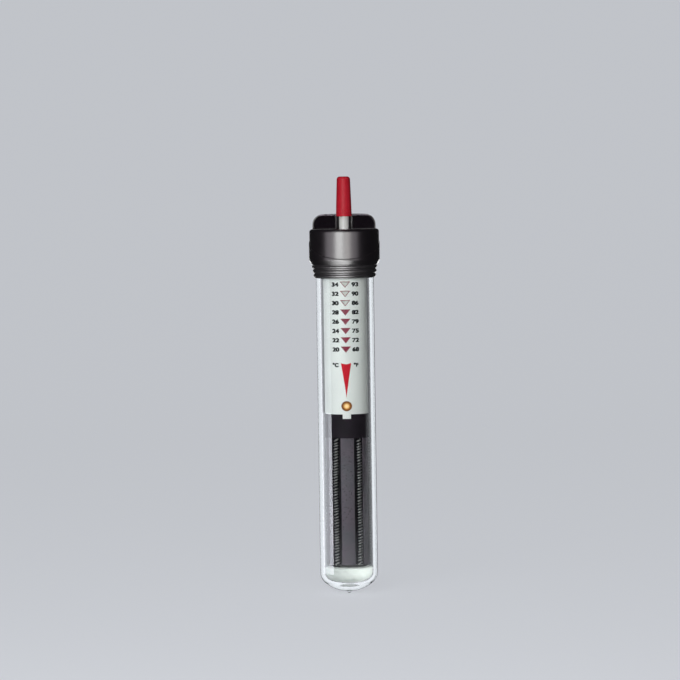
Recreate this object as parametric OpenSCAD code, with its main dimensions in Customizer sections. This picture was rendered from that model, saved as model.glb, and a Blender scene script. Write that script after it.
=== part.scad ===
// Submersible aquarium heater: a closed glass tube with a fluted ceramic element,
// a bimetal thermostat set from a knob, and a scale that fills up with the setting.
// Millimetres, +Z up along the tube, the scale faces -Y. The origin is on the tube
// axis, at the middle of the straight glass that a holder grips.

/* [Glass tube] */
// Outside diameter of the glass
tube_od = 25; // [24:0.5:30]
// Thickness of the glass
tube_wall = 1.9; // [1.5:0.1:2.1]
// Length from the tip of the closed end to the open rim
tube_length = 141.6; // [139:0.5:170]
// Radius of the shoulder of the closed end
knuckle_r = 6; // [5:0.5:7]
// Radius of the crown of the closed end
crown_r = 16; // [15:0.5:22]
// Radius of the pip where the closed end was sealed off
pip_r = 0.85; // [0.5:0.05:1.2]

/* [Sealing collar] */
// Length of glass that the rubber collar grips
collar_grip = 5.2; // [4:0.2:7]
// Depth to which the glass is ground down where the collar grips it
collar_seat = 0.3; // [0.2:0.05:0.4]
// Height of the ribbed part that shows under the cap
collar_height = 5.8; // [5:0.2:8]
// Thickness of the rubber at its upper rib
collar_wall = 1.8; // [1.4:0.1:2.2]
// How much thinner the lowest rib is than the upper one
collar_taper = 0.9; // [0.2:0.1:1]
// Number of ribs
rib_count = 3; // [2:1:4]
// Thickness of the neck that goes up inside the cap
neck_wall = 0.6; // [0.5:0.1:1]

/* [Cap] */
// Thickness of the cap's skirt
cap_wall = 1.85; // [1.6:0.05:2.6]
// Height of the cap from its lower edge to the ledge in front
cap_body_h = 15.2; // [14:0.2:22]
// Height of the rear half above the ledge
cap_rise = 6.4; // [5.6:0.2:12]
// Step in from the body to the rear half
rear_step = 1.4; // [0.6:0.1:1.6]
// Rounding of the rear half's top edge
rear_round = 4.5; // [2:0.5:5]
// Rounding of the body's top edge
ledge_round = 1.2; // [0.5:0.1:1.6]
// Height of the flare at the lower edge
flare_h = 1.9; // [1:0.1:2.4]
// Depth of the flare at the lower edge
flare_in = 0.95; // [0.4:0.05:1.1]
// How far the swept band stands proud of the body
band_raise = 0.25; // [0.1:0.05:0.4]
// Height of the swept band at the front
band_front_h = 2.5; // [2.4:0.1:4]
// Slope of the swept band's upper edge, in degrees
band_slope = 23.5; // [10:0.5:25]
// Thickness of the roofs over the hollow
roof = 2.2; // [1.6:0.1:2.6]
// Distance from the tube axis forward to the face of the rear half
rear_face = 1; // [0.4:0.1:1.4]

/* [Cord inlet] */
// Diameter of the cord that the grommet takes
cord_d = 5.2; // [4.4:0.1:5.4]
// Wall of the grommet
grommet_wall = 1; // [0.8:0.1:1.2]
// Distance of the inlet behind the tube axis
cord_offset = 5.6; // [5.4:0.1:6]

/* [Knob and spindle] */
// Distance of the spindle in front of the tube axis
spindle_offset = 3.6; // [3.4:0.1:4]
// Diameter of the spindle
stem_d = 4.3; // [3.8:0.1:4.6]
// Length of spindle that shows between the ledge and the knob
stem_show = 5.6; // [4:0.2:9]
// Height of the knob
knob_h = 17.1; // [14:0.5:24]
// Diameter of the knob at its foot
knob_d = 6.9; // [6.4:0.1:7.4]
// Diameter of the knob at its top
knob_top_d = 5.8; // [5:0.1:6.2]
// Rounding of the knob's top
knob_round = 1.3; // [0.6:0.1:2]
// Diameter of the D-shaped end that drives the knob
drive_d = 3.2; // [2.8:0.1:3.4]
// Diameter of the threaded end that moves the setting nut
thread_d = 3; // [2.5:0.5:3]
// Space around the knob in the rear half of the cap
knob_space = 0.75; // [0.4:0.05:0.8]

/* [Scale] */
// Number of windows in the scale
scale_rows = 8; // [5:1:8]
// Spacing of the windows
row_pitch = 4; // [3.2:0.1:4.2]
// Turn of the spindle from one window to the next, in degrees
row_turn = 45; // [40:1:45]
// Number of windows that are filled at rest
rows_filled = 5; // [1:1:5]
// Width of a window
window_w = 3.3; // [2.4:0.1:3.6]
// Height of a window
window_h = 2.1; // [1.6:0.1:2.6]
// Wall of the scale sleeve
sleeve_wall = 0.5; // [0.4:0.05:0.8]
// Space between the glass and the scale sleeve
sleeve_space = 1.2; // [0.8:0.1:1.4]
// Wall of the indicator drum
drum_wall = 0.8; // [0.6:0.1:1]
// Thickness of the coloured wrap on the drum
wrap_t = 0.15; // [0.1:0.05:0.3]
// Space between the wrap and the sleeve
drum_space = 0.35; // [0.3:0.05:0.5]

/* [Thermostat] */
// Width of the bimetal blade
blade_w = 4.4; // [3.4:0.2:4.8]
// Thickness of the bimetal blade
blade_t = 0.4; // [0.3:0.05:0.5]
// Distance of the blade behind the tube axis
blade_offset = 4.3; // [4:0.1:4.6]
// Diameter of the contacts
contact_d = 2.2; // [1.6:0.1:2.6]
// Open gap between the contacts at rest
contact_gap = 0.35; // [0.3:0.05:0.4]
// Height of the contacts above the pivot of the contact arm
contact_rise = 6.5; // [5.5:0.1:6.8]
// Width of the square setting nut
nut_w = 6; // [5:0.2:6]
// Height of the setting nut
nut_h = 6; // [5:0.2:6.2]
// Thickness of the sheet that the contact arm is bent from
arm_t = 0.6; // [0.4:0.05:0.8]
// Thickness of the carrier's curved back
frame_wall = 1; // [0.8:0.1:1.2]
// Diameter of the pilot lamp's window
lamp_d = 4.3; // [3:0.1:4.6]
// Height of the bay for the pilot lamp, between the element collar and the carrier
lamp_bay = 8.5; // [8:0.1:12]
// Height of the pilot lamp above the element collar
lamp_rise = 3.6; // [3.2:0.1:5]

/* [Heating element] */
// Height of the fibre plug's top above the tip of the tube
plug_top = 11.1; // [9:0.1:14]
// Space between the glass and the fluted ceramic core
core_space = 1.4; // [1.3:0.1:1.9]
// Number of flutes
flute_count = 6; // [4:1:6]
// Width of a flute
flute_w = 4; // [3:0.1:4.2]
// Outside diameter of a coil
coil_d = 2.2; // [2.1:0.1:2.6]
// Distance from the middle of a coil out to the core's surface
coil_inset = 0.5; // [0.4:0.1:1]
// Pitch of the coil turns
coil_pitch = 1.25; // [1:0.05:2]
// Diameter of the resistance wire
coil_wire_d = 0.7; // [0.5:0.05:0.8]
// Height of the black element collar
element_collar_h = 10.3; // [8:0.1:14]
// Width of the notch in the element collar
tab_w = 3.5; // [2.5:0.1:4.5]
// Depth of the notch in the element collar
tab_h = 2; // [1:0.1:3]

/* [Hidden] */
$fn = 72;
fit = 0.05;       // gap at a seat between two fixed pieces
film_gap = 0.03;  // gap under the wrap
slide = 0.15;     // gap round a piece that slides into a bore
air = 0.3;        // gap between pieces that move past each other
over = 1;         // extra length of a cut

// Radii that follow from the tube
tube_r = tube_od / 2;
bore_r = tube_r - tube_wall;
seat_r = tube_r - collar_seat;
neck_r = tube_r + fit + neck_wall;
cap_r = neck_r + fit + cap_wall;
rear_r = cap_r - rear_step;
sleeve_r = bore_r - sleeve_space;
sleeve_bore_r = sleeve_r - sleeve_wall;
frame_disc_r = sleeve_bore_r - slide;
frame_step = 0.55;
frame_r = frame_disc_r - frame_step;
core_r = bore_r - core_space;
coil_ring_r = core_r - coil_inset;
stem_r = stem_d / 2;
thread_r = thread_d / 2;
drive_r = drive_d / 2;
wrap_r = sleeve_bore_r - drum_space - spindle_offset;
drum_r = wrap_r - wrap_t;

// Heights above the tip of the tube
end_depth = round_depth(tube_r, knuckle_r, crown_r);
collar_bottom = tube_length - collar_grip;
cap_bottom = collar_bottom + collar_height;
neck_rise = 4.7;
neck_top = cap_bottom + neck_rise;
ledge = cap_bottom + cap_body_h;
cap_top = ledge + cap_rise;
knob_bottom = ledge + stem_show;
knob_skirt = 4;
knob_socket = 0.6 * knob_h;
grip_height = (end_depth + collar_bottom) / 2;

stopper_plug = 4.3;
stopper_bottom = tube_length - stopper_plug;
stopper_flange = neck_top - tube_length - fit;
well_depth = 1.5;
scale_margin = 3.6;
top_row = stopper_bottom - scale_margin;
drum_end = row_pitch / 2 + 2 * fit;
drum_top = top_row + drum_end;
drum_bottom = row_height(0) - drum_end;
top_shelf_bottom = drum_top + air;

// The gland of the spindle, in the cap
gland_rise = 2.6;
gland_bottom = neck_top + gland_rise;
gland_room = 1.55;
gland_r = stem_r + gland_room;
gland_depth = 3.5;
bush_h = 1.7;
ring_wire_r = 0.7;
clip_t = 0.8;
clip_groove = 0.4;
clip_height = gland_bottom - 4 * fit - clip_t;

// The thermostat, from the bearing shelf down
shelf_t = 2.2;
shelf_top = drum_bottom - 0.8;
shelf_bottom = shelf_top - shelf_t;
nut_top = shelf_bottom - 2 * air;
nut_bottom = nut_top - nut_h;
nut_nose = 2;
nose_r = 1;
pivot_height = nut_bottom - nut_nose - 2 * fit - arm_t / 2;
pivot_y = 1.8;
pin_r = 0.6;
barrel_r = 1.2;
arm_w = 4;
contact_height = pivot_height + contact_rise;
blade_front = blade_offset - blade_t / 2;
arm_face = pivot_y + arm_t / 2;
contact_room = blade_front - arm_face - contact_gap;
cheek_t = 1.25;
cheek_x = nut_w / 2 + slide;
cheek_drop = 5.5;
cheek_bottom = pivot_height - cheek_drop;
floor_t = 1.4;
clamp_drop = 3.2;
clamp_height = top_row - clamp_drop;
clamp_half = 2.8;
clamp_w = blade_w + 1.8;
tip_drop = 0.6;
magnet_front = 0.85;
blade_tip = cheek_bottom - tip_drop;
plate_t = 0.7;
armature_t = 0.7;
armature_h = 3;
rivet_r = 0.6;
rivet_rise = 1.5;
post_x = 0.43 * bore_r;
post_y = 0.38 * bore_r;
post_r = 0.8;
lead_r = 0.45;
lead_x = 0.58 * bore_r;
lens_flange_t = 0.5;
lens_back = sleeve_bore_r - slide - 5 * fit - lens_flange_t;
lamp_space = 0.85;
lamp_y = lens_back - lamp_space - lamp_d / 2;
lamp_wire_r = 0.25;
resistor_x = 0.4 * bore_r;
resistor_y = 0.19 * bore_r;

// The heating element, from the plug up to the lamp's bay
element_gap = 1.1;
core_bottom = plug_top + element_gap;
element_collar_top = cheek_bottom - lamp_bay;
element_collar_bottom = element_collar_top - element_collar_h;
core_top = element_collar_bottom - fit;
core_length = core_top - core_bottom;
web_rise = 1.7;
web_bottom = element_collar_bottom + web_rise;
web_t = 1.4;
disc_t = 0.5;
frame_bottom = web_bottom + web_t + disc_t + 3 * fit;
lamp_height = element_collar_top + lamp_rise;

// The coils stand in the flutes, the first one half a step from the front
flute_step = 360 / flute_count;
link_rise = 0.5;
link_wire_r = coil_wire_d / 2;
link_ring_r = coil_ring_r - (coil_d - coil_wire_d) / 2;
lead_in = 0.82;

black = [0.07, 0.07, 0.08];
rubber = [0.12, 0.12, 0.13];
red = [0.76, 0.12, 0.2];
crimson = [0.55, 0.08, 0.18];
white = [0.93, 0.94, 0.93];
clear = [0.8, 0.88, 0.95, 0.3];
steatite = [0.5, 0.48, 0.5];
phenolic = [0.45, 0.25, 0.14];
brass = [0.8, 0.64, 0.32];
silver = [0.8, 0.8, 0.82];
nichrome = [0.62, 0.6, 0.58];
amber = [1, 0.62, 0.12];

// ---- Shared functions and shapes ----

// Height of a closed end whose knuckle runs into a spherical crown
function round_depth(r, knuckle, crown) =
    crown - sqrt(pow(crown - knuckle, 2) - pow(r - knuckle, 2));

// Height of window i, counted from the lowest
function row_height(i) = top_row - (scale_rows - 1 - i) * row_pitch;

// Turns or moves its children up from the origin's frame to a height above the tip
module at_height(height) {
    translate([0, 0, height - grip_height]) children();
}

// The spindle's own axis, at a height above the tip
module on_spindle(height) {
    at_height(height) translate([0, -spindle_offset, 0]) children();
}

// Half profile of a post with a rounded top edge
module rounded_half(r, height, round) {
    square([r - round, height]);
    square([r, height - round]);
    translate([r - round, height - round]) circle(round);
}

// Half profile of a rod with a closed round end, its tip at the origin. The knuckle
// sits a little lower than the tangent, so that the two arcs cross.
module closed_end_half(r, knuckle, crown, height) {
    depth = round_depth(r, knuckle, crown);
    tangent = [r - knuckle, depth - crown] * 2 * crown / (crown - knuckle);
    crossing = depth - film_gap;
    intersection() {
        translate([0, crown]) circle(crown);
        translate([0, crown]) polygon([[0, 0], [0, -2 * crown], tangent]);
    }
    translate([r - knuckle, crossing]) circle(knuckle);
    translate([0, crossing]) square([r, height - crossing]);
}

// Bent wire through a list of points, with round bends
module wire(points, r) {
    for (i = [0:len(points) - 2]) {
        span = points[i + 1] - points[i];
        length = norm(span);
        translate(points[i])
            rotate([0, acos(span[2] / length), atan2(span[1], span[0])])
            cylinder(h = length, r = r);
    }
    for (p = points) translate(p) sphere(r + film_gap / 2);
}

// Close-wound coil as a tube with a ridge for each turn
module wound_coil(r, wire_d, pitch, turns) {
    root = r - wire_d / 2;
    top = turns * pitch;
    ridges = [for (i = [0:turns - 1], half = [0, 1])
        [half == 0 ? root : r, (i + half / 2) * pitch]];
    rotate_extrude() polygon(concat([[r - wire_d, 0]], ridges,
        [[root, top], [r - wire_d, top]]));
}

// Part of a ring between two radii, centred on +Y, as a flat outline
module back_arc(outer, inner, half_angle) {
    far = 3 * outer;
    side = [far * sin(half_angle), far * cos(half_angle)];
    intersection() {
        difference() {
            circle(outer);
            circle(inner);
        }
        polygon([[0, 0], side, [side[0], far], [-side[0], far], [-side[0], side[1]]]);
    }
}

// Block centred in x, from y0 to y1, standing on z = 0
module slab(width, y0, y1, height) {
    translate([-width / 2, y0, 0]) cube([width, y1 - y0, height]);
}

// Round bar along y, from y0 to y1
module y_bar(r, y0, y1) {
    translate([0, y1, 0]) rotate([90, 0, 0]) cylinder(h = y1 - y0, r = r);
}

// Round bar along x, centred
module x_bar(r, length) {
    rotate([0, 90, 0]) cylinder(h = length, r = r, center = true);
}

// Sets its children on the ring of coils, one in each flute
module each_flute() {
    for (i = [0:flute_count - 1])
        rotate(-90 + (i + 0.5) * flute_step) translate([coil_ring_r, 0, 0]) children();
}

// ---- Cap ----

// Outside of the body, widened by extra
module cap_body_half(extra) {
    r = cap_r + extra;
    foot_r = cap_r + band_raise - flare_in;
    difference() {
        rounded_half(r, cap_body_h, ledge_round);
        polygon([[foot_r, 0], [foot_r, -over], [r + over, -over], [r + over, flare_h],
            [cap_r + band_raise, flare_h]]);
    }
}

// Everything below the swept band's sloping edge
module below_band() {
    reach = 4 * cap_r;
    translate([0, -cap_r, band_front_h]) rotate([band_slope, 0, 0])
        translate([-reach / 2, -reach / 2, -reach]) cube([reach, 2 * reach, reach]);
}

// Rear half, cut back in front and hollowed around the knob
module cap_rear() {
    difference() {
        rotate_extrude() rounded_half(rear_r, cap_body_h + cap_rise, rear_round);
        translate([-cap_r, -cap_r - rear_face, cap_body_h])
            cube([2 * cap_r, cap_r, cap_rise + over]);
        translate([0, -spindle_offset, cap_body_h])
            cylinder(h = cap_rise + over, r = knob_d / 2 + knob_space);
    }
}

// Hollow of the cap, with the knob's recess and the cord's boss left standing
module cap_hollow() {
    inner_r = neck_r - over;
    boss_wall = 1.2;
    translate([0, 0, -over]) cylinder(h = neck_top - cap_bottom + fit + over, r = neck_r + fit);
    cylinder(h = cap_body_h - roof, r = inner_r);
    difference() {
        cylinder(h = cap_body_h + cap_rise - roof, r = rear_r - roof);
        translate([-cap_r, -cap_r - rear_face + roof, cap_body_h - roof])
            cube([2 * cap_r, cap_r, cap_rise + roof]);
        translate([0, -spindle_offset, 0])
            cylinder(h = cap_body_h + cap_rise, r = knob_d / 2 + knob_space + roof);
        translate([0, cord_offset, cap_body_h - roof])
            cylinder(h = cap_rise + roof, r = cord_d / 2 + grommet_wall + boss_wall);
    }
}

module cap_housing() {
    gland_h = gland_bottom - cap_bottom;
    color(black) at_height(cap_bottom) difference() {
        union() {
            difference() {
                union() {
                    rotate_extrude() cap_body_half(0);
                    intersection() {
                        rotate_extrude() cap_body_half(band_raise);
                        below_band();
                    }
                    difference() {
                        cap_rear();
                        cylinder(h = flare_h + over, r = cap_r);
                    }
                }
                cap_hollow();
            }
            translate([0, -spindle_offset, gland_h])
                cylinder(h = cap_body_h - gland_h - over, r = gland_r + over);
        }
        translate([0, -spindle_offset, 0]) {
            cylinder(h = cap_body_h + over, r = stem_r + fit);
            cylinder(h = gland_h + gland_depth, r = gland_r);
        }
        translate([0, cord_offset, cap_body_h - roof - over])
            cylinder(h = cap_rise + roof + 2 * over, r = cord_d / 2 + grommet_wall);
    }
}

// Rubber grommet, its lip flush with the top of the cap
module cord_grommet() {
    chamfer = grommet_wall / 2;
    outer = cord_d / 2 + grommet_wall - fit;
    length = cap_rise + roof;
    color(rubber) at_height(cap_top - length) translate([0, cord_offset, 0])
        rotate_extrude() difference() {
            square([outer, length]);
            translate([0, -over]) square([cord_d / 2, length + 2 * over]);
            translate([outer, length]) rotate(45) square(chamfer, center = true);
        }
}

// ---- Knob and spindle ----

// D-shaped end of the spindle, or its socket with a clearance
module drive_end(clearance, length) {
    flat = 0.6 * drive_r;
    difference() {
        cylinder(h = length, r = drive_r + clearance);
        translate([-drive_d, flat + clearance, -over])
            cube([2 * drive_d, drive_d, length + 2 * over]);
    }
}

module knob() {
    foot_r = knob_d / 2;
    top_r = knob_top_d / 2;
    ring_pitch = 1.1;
    ring_r = 0.2;
    color(red) on_spindle(knob_bottom) difference() {
        rotate_extrude() difference() {
            union() {
                polygon([[0, 0], [foot_r, 0], [top_r, knob_h - knob_round],
                    [top_r - knob_round, knob_h], [0, knob_h]]);
                translate([top_r - knob_round, knob_h - knob_round]) circle(knob_round);
            }
            for (i = [1:3]) translate([foot_r, i * ring_pitch]) circle(ring_r);
            translate([-knob_d, 0]) square([knob_d, knob_h]);
        }
        translate([0, 0, -over]) cylinder(h = knob_skirt + over, r = stem_r + fit);
        drive_end(fit, knob_socket);
    }
}

module spindle() {
    top = knob_bottom + knob_skirt - fit;
    drive_length = knob_socket - knob_skirt;
    thread_tip = nut_bottom + 4 * air;
    color(white) difference() {
        union() {
            on_spindle(drum_bottom) cylinder(h = top - drum_bottom, r = stem_r);
            on_spindle(top) drive_end(0, drive_length);
            on_spindle(thread_tip) cylinder(h = drum_bottom - thread_tip, r = thread_r);
        }
        on_spindle(clip_height) rotate_extrude()
            translate([stem_r - clip_groove, 0]) square([over, clip_t]);
    }
}

module spindle_o_ring() {
    color(rubber) on_spindle(gland_bottom + gland_depth - ring_wire_r - fit)
        rotate_extrude() translate([stem_r + fit + ring_wire_r, 0]) circle(ring_wire_r);
}

module gland_bush() {
    color(white) on_spindle(gland_bottom) difference() {
        cylinder(h = bush_h, r = gland_r - fit);
        translate([0, 0, -over]) cylinder(h = bush_h + 2 * over, r = stem_r + 2 * fit);
    }
}

// Spring clip with an open mouth, in its groove under the gland
module spindle_clip() {
    mouth = 1.2 * stem_r;
    color(silver) on_spindle(clip_height + fit) linear_extrude(clip_t - 2 * fit) difference() {
        circle(1.47 * stem_r);
        circle(stem_r - clip_groove + fit);
        translate([-mouth / 2, 0]) square([mouth, 3 * stem_r]);
    }
}

// ---- Seal between the glass and the cap ----

module sealing_collar() {
    inner = seat_r + fit;
    groove = 0.5;
    rib_r = collar_height / rib_count / 2 - 2 * fit;
    root_top = tube_r + collar_wall - groove;
    root_bottom = root_top - collar_taper;
    color(rubber) at_height(collar_bottom) rotate_extrude() difference() {
        union() {
            polygon([[inner, 0], [root_bottom, 0], [root_top, collar_height],
                [neck_r, collar_height], [neck_r, neck_top - collar_bottom],
                [inner, neck_top - collar_bottom]]);
            for (i = [0:rib_count - 1]) {
                height = (i + 0.5) * collar_height / rib_count;
                reach = tube_r + collar_wall - collar_taper * (1 - height / collar_height);
                translate([reach - rib_r, height]) circle(rib_r);
            }
        }
        square([inner, collar_height]);
    }
}

module tube_stopper() {
    length = stopper_plug + stopper_flange + 2 * over;
    color(white) difference() {
        union() {
            at_height(stopper_bottom) cylinder(h = stopper_plug + over, r = bore_r - fit);
            at_height(tube_length + fit) cylinder(h = stopper_flange, r = seat_r);
        }
        at_height(neck_top - well_depth) cylinder(h = well_depth + over, r = bore_r - over);
        on_spindle(stopper_bottom - over) cylinder(h = length, r = stem_r + fit);
        for (side = [-1, 1]) at_height(stopper_bottom - over)
            translate([side * post_x, post_y, 0]) cylinder(h = length, r = post_r + film_gap);
    }
}

// Through-posts with a collar in the stopper's well and a solder eye at each end
module terminal_posts() {
    tail = 3 * post_r;
    eye_r = post_r / 2;
    bottom = top_shelf_bottom - 0.6 * tail;
    length = neck_top + tail - bottom;
    color(brass) for (side = [-1, 1]) at_height(bottom)
        translate([side * post_x, post_y, 0]) difference() {
            union() {
                cylinder(h = length, r = post_r);
                translate([0, 0, neck_top - well_depth + film_gap - bottom])
                    cylinder(h = post_r, r = 2 * post_r);
            }
            for (z = [2 * eye_r, length - 2 * eye_r])
                translate([0, 0, z]) x_bar(eye_r, 4 * post_r);
        }
}

// ---- Glass tube ----

module glass_tube() {
    rim_r = (tube_wall - collar_seat) / 2;
    seat_bottom = collar_bottom - fit;
    color(clear) at_height(0) rotate_extrude() intersection() {
        translate([0, -over]) square([tube_r + over, tube_length + 2 * over]);
        union() {
            difference() {
                closed_end_half(tube_r, knuckle_r, crown_r, tube_length - rim_r);
                translate([seat_r, seat_bottom]) square([tube_wall, tube_length]);
                translate([0, tube_wall])
                    closed_end_half(bore_r, knuckle_r - tube_wall, crown_r - tube_wall,
                        tube_length);
            }
            translate([seat_r - rim_r, tube_length - rim_r]) circle(rim_r);
            intersection() {
                translate([0, fit]) circle(pip_r);
                translate([0, -over]) square([pip_r, over + tube_wall / 2]);
            }
        }
    }
}

// ---- Scale and indicator ----

// Hollow drum that turns with the spindle behind the windows
module indicator_drum() {
    hub_r = stem_r + fit + drum_wall;
    length = drum_top - drum_bottom;
    color(white) on_spindle(drum_bottom) rotate_extrude() difference() {
        translate([stem_r + fit, 0]) square([drum_r - film_gap - stem_r - fit, length]);
        translate([hub_r, drum_wall])
            square([drum_r - drum_wall - hub_r, length - 2 * drum_wall]);
    }
}

// Coloured steps around the drum: step i shows in window i from that setting upwards
module indicator_wrap() {
    full_turn = scale_rows * row_turn;
    rest_turn = (rows_filled - 1) * row_turn;
    color(crimson) for (i = [0:scale_rows - 1]) {
        turn = full_turn - i * row_turn;
        start = -90 + rest_turn + row_turn / 2 - full_turn;
        on_spindle(row_height(i) - row_pitch / 2) rotate(start)
            rotate_extrude(angle = turn) translate([drum_r, 0]) square([wrap_t, row_pitch]);
    }
}

// Triangle that points down, centred on its height
module window_outline() {
    polygon([[-window_w / 2, window_h / 2], [window_w / 2, window_h / 2], [0, -window_h / 2]]);
}

module scale_sleeve() {
    top = stopper_bottom - 2 * fit;
    bottom = element_collar_top + fit;
    color(white) difference() {
        union() {
            at_height(bottom) cylinder(h = top - bottom, r = sleeve_r);
            at_height(bottom - tab_h + fit) intersection() {
                cylinder(h = tab_h + over, r = sleeve_r);
                slab(tab_w - 2 * fit, -tube_r, 0, tab_h + over);
            }
        }
        at_height(bottom - tab_h - over) cylinder(h = top - bottom + tab_h + 2 * over,
            r = sleeve_bore_r);
        for (i = [0:scale_rows - 1]) at_height(row_height(i)) rotate([90, 0, 0])
            linear_extrude(tube_r) window_outline();
        at_height(lamp_height) y_bar(lamp_d / 2 + fit, -tube_r, 0);
    }
}

// ---- Thermostat ----

// Carrier: a curved back with a top shelf, a bearing shelf and two cheeks
module thermostat_frame() {
    top = stopper_bottom - fit;
    back_angle = 62;
    cheek_back = pivot_y + barrel_r + 0.4;
    cheek_front = -spindle_offset - nut_w / 2 - air;
    rest_front = -0.6;
    rest_back = magnet_front - fit;
    rest_h = cheek_drop - barrel_r - 0.5;
    color(phenolic) difference() {
        union() {
            at_height(frame_bottom) linear_extrude(top - frame_bottom)
                back_arc(frame_r, frame_r - frame_wall, back_angle);
            at_height(top_shelf_bottom)
                cylinder(h = top - top_shelf_bottom, r = frame_disc_r);
            at_height(shelf_bottom) cylinder(h = shelf_t, r = frame_disc_r);
            for (side = [-1, 1]) at_height(cheek_bottom)
                translate([side * (cheek_x + cheek_t / 2), 0, 0])
                slab(cheek_t, cheek_front, cheek_back, shelf_bottom - cheek_bottom + over);
            at_height(cheek_bottom)
                slab(2 * cheek_x + over, cheek_front, rest_front + slide, floor_t);
            at_height(cheek_bottom) slab(2 * cheek_x + over, rest_front, rest_back, rest_h);
            at_height(clamp_height - clamp_half) slab(clamp_w,
                blade_front + blade_t + 4 * fit, frame_r - frame_wall / 2, 2 * clamp_half);
        }
        on_spindle(top_shelf_bottom - over)
            cylinder(h = top - top_shelf_bottom + 2 * over, r = stem_r + fit);
        on_spindle(shelf_bottom - over) cylinder(h = shelf_t + 2 * over, r = thread_r + fit);
        at_height(shelf_bottom - over) intersection() {
            slab(2 * frame_r, pivot_y - pin_r, frame_r, shelf_t + 2 * over);
            cylinder(h = shelf_t + 2 * over, r = frame_r - frame_wall);
        }
        for (side = [-1, 1]) at_height(top_shelf_bottom - over)
            translate([side * post_x, post_y, 0])
            cylinder(h = top - top_shelf_bottom + 2 * over, r = post_r + 2 * fit);
        at_height(pivot_height) translate([0, pivot_y, 0]) x_bar(pin_r + film_gap, 4 * nut_w);
        for (side = [-1, 1]) at_height(clamp_height + side * rivet_rise)
            y_bar(rivet_r + film_gap, 0, 2 * frame_r);
    }
}

// Bimetal blade, hung from its clamp, with clear holes for the rivets
module bimetal_blade() {
    top = clamp_height + clamp_half - air;
    color(nichrome) difference() {
        at_height(blade_tip)
            slab(blade_w, blade_front, blade_front + blade_t, top - blade_tip);
        for (side = [-1, 1]) at_height(clamp_height + side * rivet_rise)
            y_bar(rivet_r + 5 * fit, 0, 2 * frame_r);
    }
}

// Contact button of the blade, domed towards the arm
module blade_contact() {
    thickness = contact_room / 2;
    color(silver) at_height(contact_height)
        y_bar(contact_d / 2, blade_front - thickness, blade_front);
}

// Iron pad on the blade's end that the magnet pulls
module blade_armature() {
    color(silver) at_height(blade_tip + air)
        slab(blade_w - 2 * air, blade_front - armature_t, blade_front, armature_h);
}

module snap_magnet() {
    back = blade_front - armature_t - air;
    color(rubber) at_height(blade_tip + air)
        slab(blade_w - 4 * fit - 2 * air, magnet_front, back, armature_h);
}

// Brass plate that holds the blade's root, with a tail for the feed wire
module blade_clamp() {
    back = blade_front - 4 * fit;
    tail_w = 1.6;
    tail_x = (clamp_w - tail_w) / 2;
    color(brass) difference() {
        union() {
            at_height(clamp_height - clamp_half)
                slab(clamp_w, back - plate_t, back, 2 * clamp_half);
            at_height(clamp_height + clamp_half - over) translate([-tail_x, 0, 0])
                slab(tail_w, back - plate_t, back, tail_w + over);
        }
        for (side = [-1, 1]) at_height(clamp_height + side * rivet_rise)
            y_bar(rivet_r + film_gap, 0, frame_r);
    }
}

module blade_rivets() {
    head_t = 0.5;
    front = blade_front - plate_t - 4 * fit;
    back = frame_r - frame_wall - fit;
    color(silver) for (side = [-1, 1]) at_height(clamp_height + side * rivet_rise) {
        y_bar(rivet_r, front, back);
        y_bar(2 * rivet_r, front - head_t, front - fit / 2);
    }
}

// Square nut that climbs the spindle's thread, with a nose that sets the arm
module setting_nut() {
    color(brass) difference() {
        union() {
            on_spindle(nut_bottom) slab(nut_w, -nut_w / 2, nut_w / 2, nut_h);
            on_spindle(nut_bottom - nut_nose + nose_r / 2) cylinder(h = nut_nose, r = nose_r);
            on_spindle(nut_bottom - nut_nose) intersection() {
                translate([0, 0, nose_r]) sphere(1.12 * nose_r);
                cylinder(h = nose_r, r = nose_r);
            }
        }
        on_spindle(nut_bottom + nose_r) cylinder(h = nut_h, r = thread_r + fit);
    }
}

// Bell crank: a foot under the nut and an upright that carries the contact
module contact_arm() {
    foot_front = -spindle_offset - nose_r - 2 * air;
    upright_h = contact_rise + contact_d / 2 + 4 * fit;
    color(brass) at_height(pivot_height) difference() {
        union() {
            translate([0, pivot_y, 0]) x_bar(barrel_r, arm_w);
            translate([0, 0, -arm_t / 2]) slab(arm_w, foot_front, pivot_y, arm_t);
            slab(arm_w, pivot_y - arm_t / 2, arm_face, upright_h);
        }
        translate([0, pivot_y, 0]) x_bar(pin_r + fit, 2 * arm_w);
    }
}

module arm_contact() {
    thickness = contact_room / 2;
    color(silver) at_height(contact_height) y_bar(contact_d / 2, arm_face, arm_face + thickness);
}

module arm_pin() {
    length = 2 * (cheek_x + cheek_t) + over;
    color(silver) at_height(pivot_height) translate([0, pivot_y, 0]) x_bar(pin_r, length);
}

// Compression spring that holds the arm's foot against the nut
module arm_spring() {
    seat = cheek_bottom + floor_t;
    turns = 6;
    wire_d = 0.4;
    length = pivot_height - arm_t / 2 - air - seat - fit;
    color(silver) on_spindle(seat + fit)
        wound_coil(3 * wire_d, wire_d, length / turns, turns);
}

// ---- Pilot lamp and small parts ----

// Amber lens in the sleeve's hole, its flange inside
module lamp_lens() {
    face = sleeve_r + air;
    color(amber) at_height(lamp_height) intersection() {
        union() {
            y_bar(lamp_d / 2, -face, -sleeve_bore_r + over);
            y_bar(lamp_d / 2 + lens_flange_t, -lens_back - lens_flange_t, -lens_back);
        }
        translate([0, 2 * lamp_d - face, 0]) sphere(2 * lamp_d);
    }
}

module neon_lamp() {
    r = lamp_d / 2;
    end_space = 0.4;
    length = lamp_bay - 2 * end_space;
    color(amber) at_height(element_collar_top + end_space) translate([0, -lamp_y, 0])
        rotate_extrude() intersection() {
            rounded_half(r, length, r - air);
            square([r, length]);
        }
}

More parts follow.
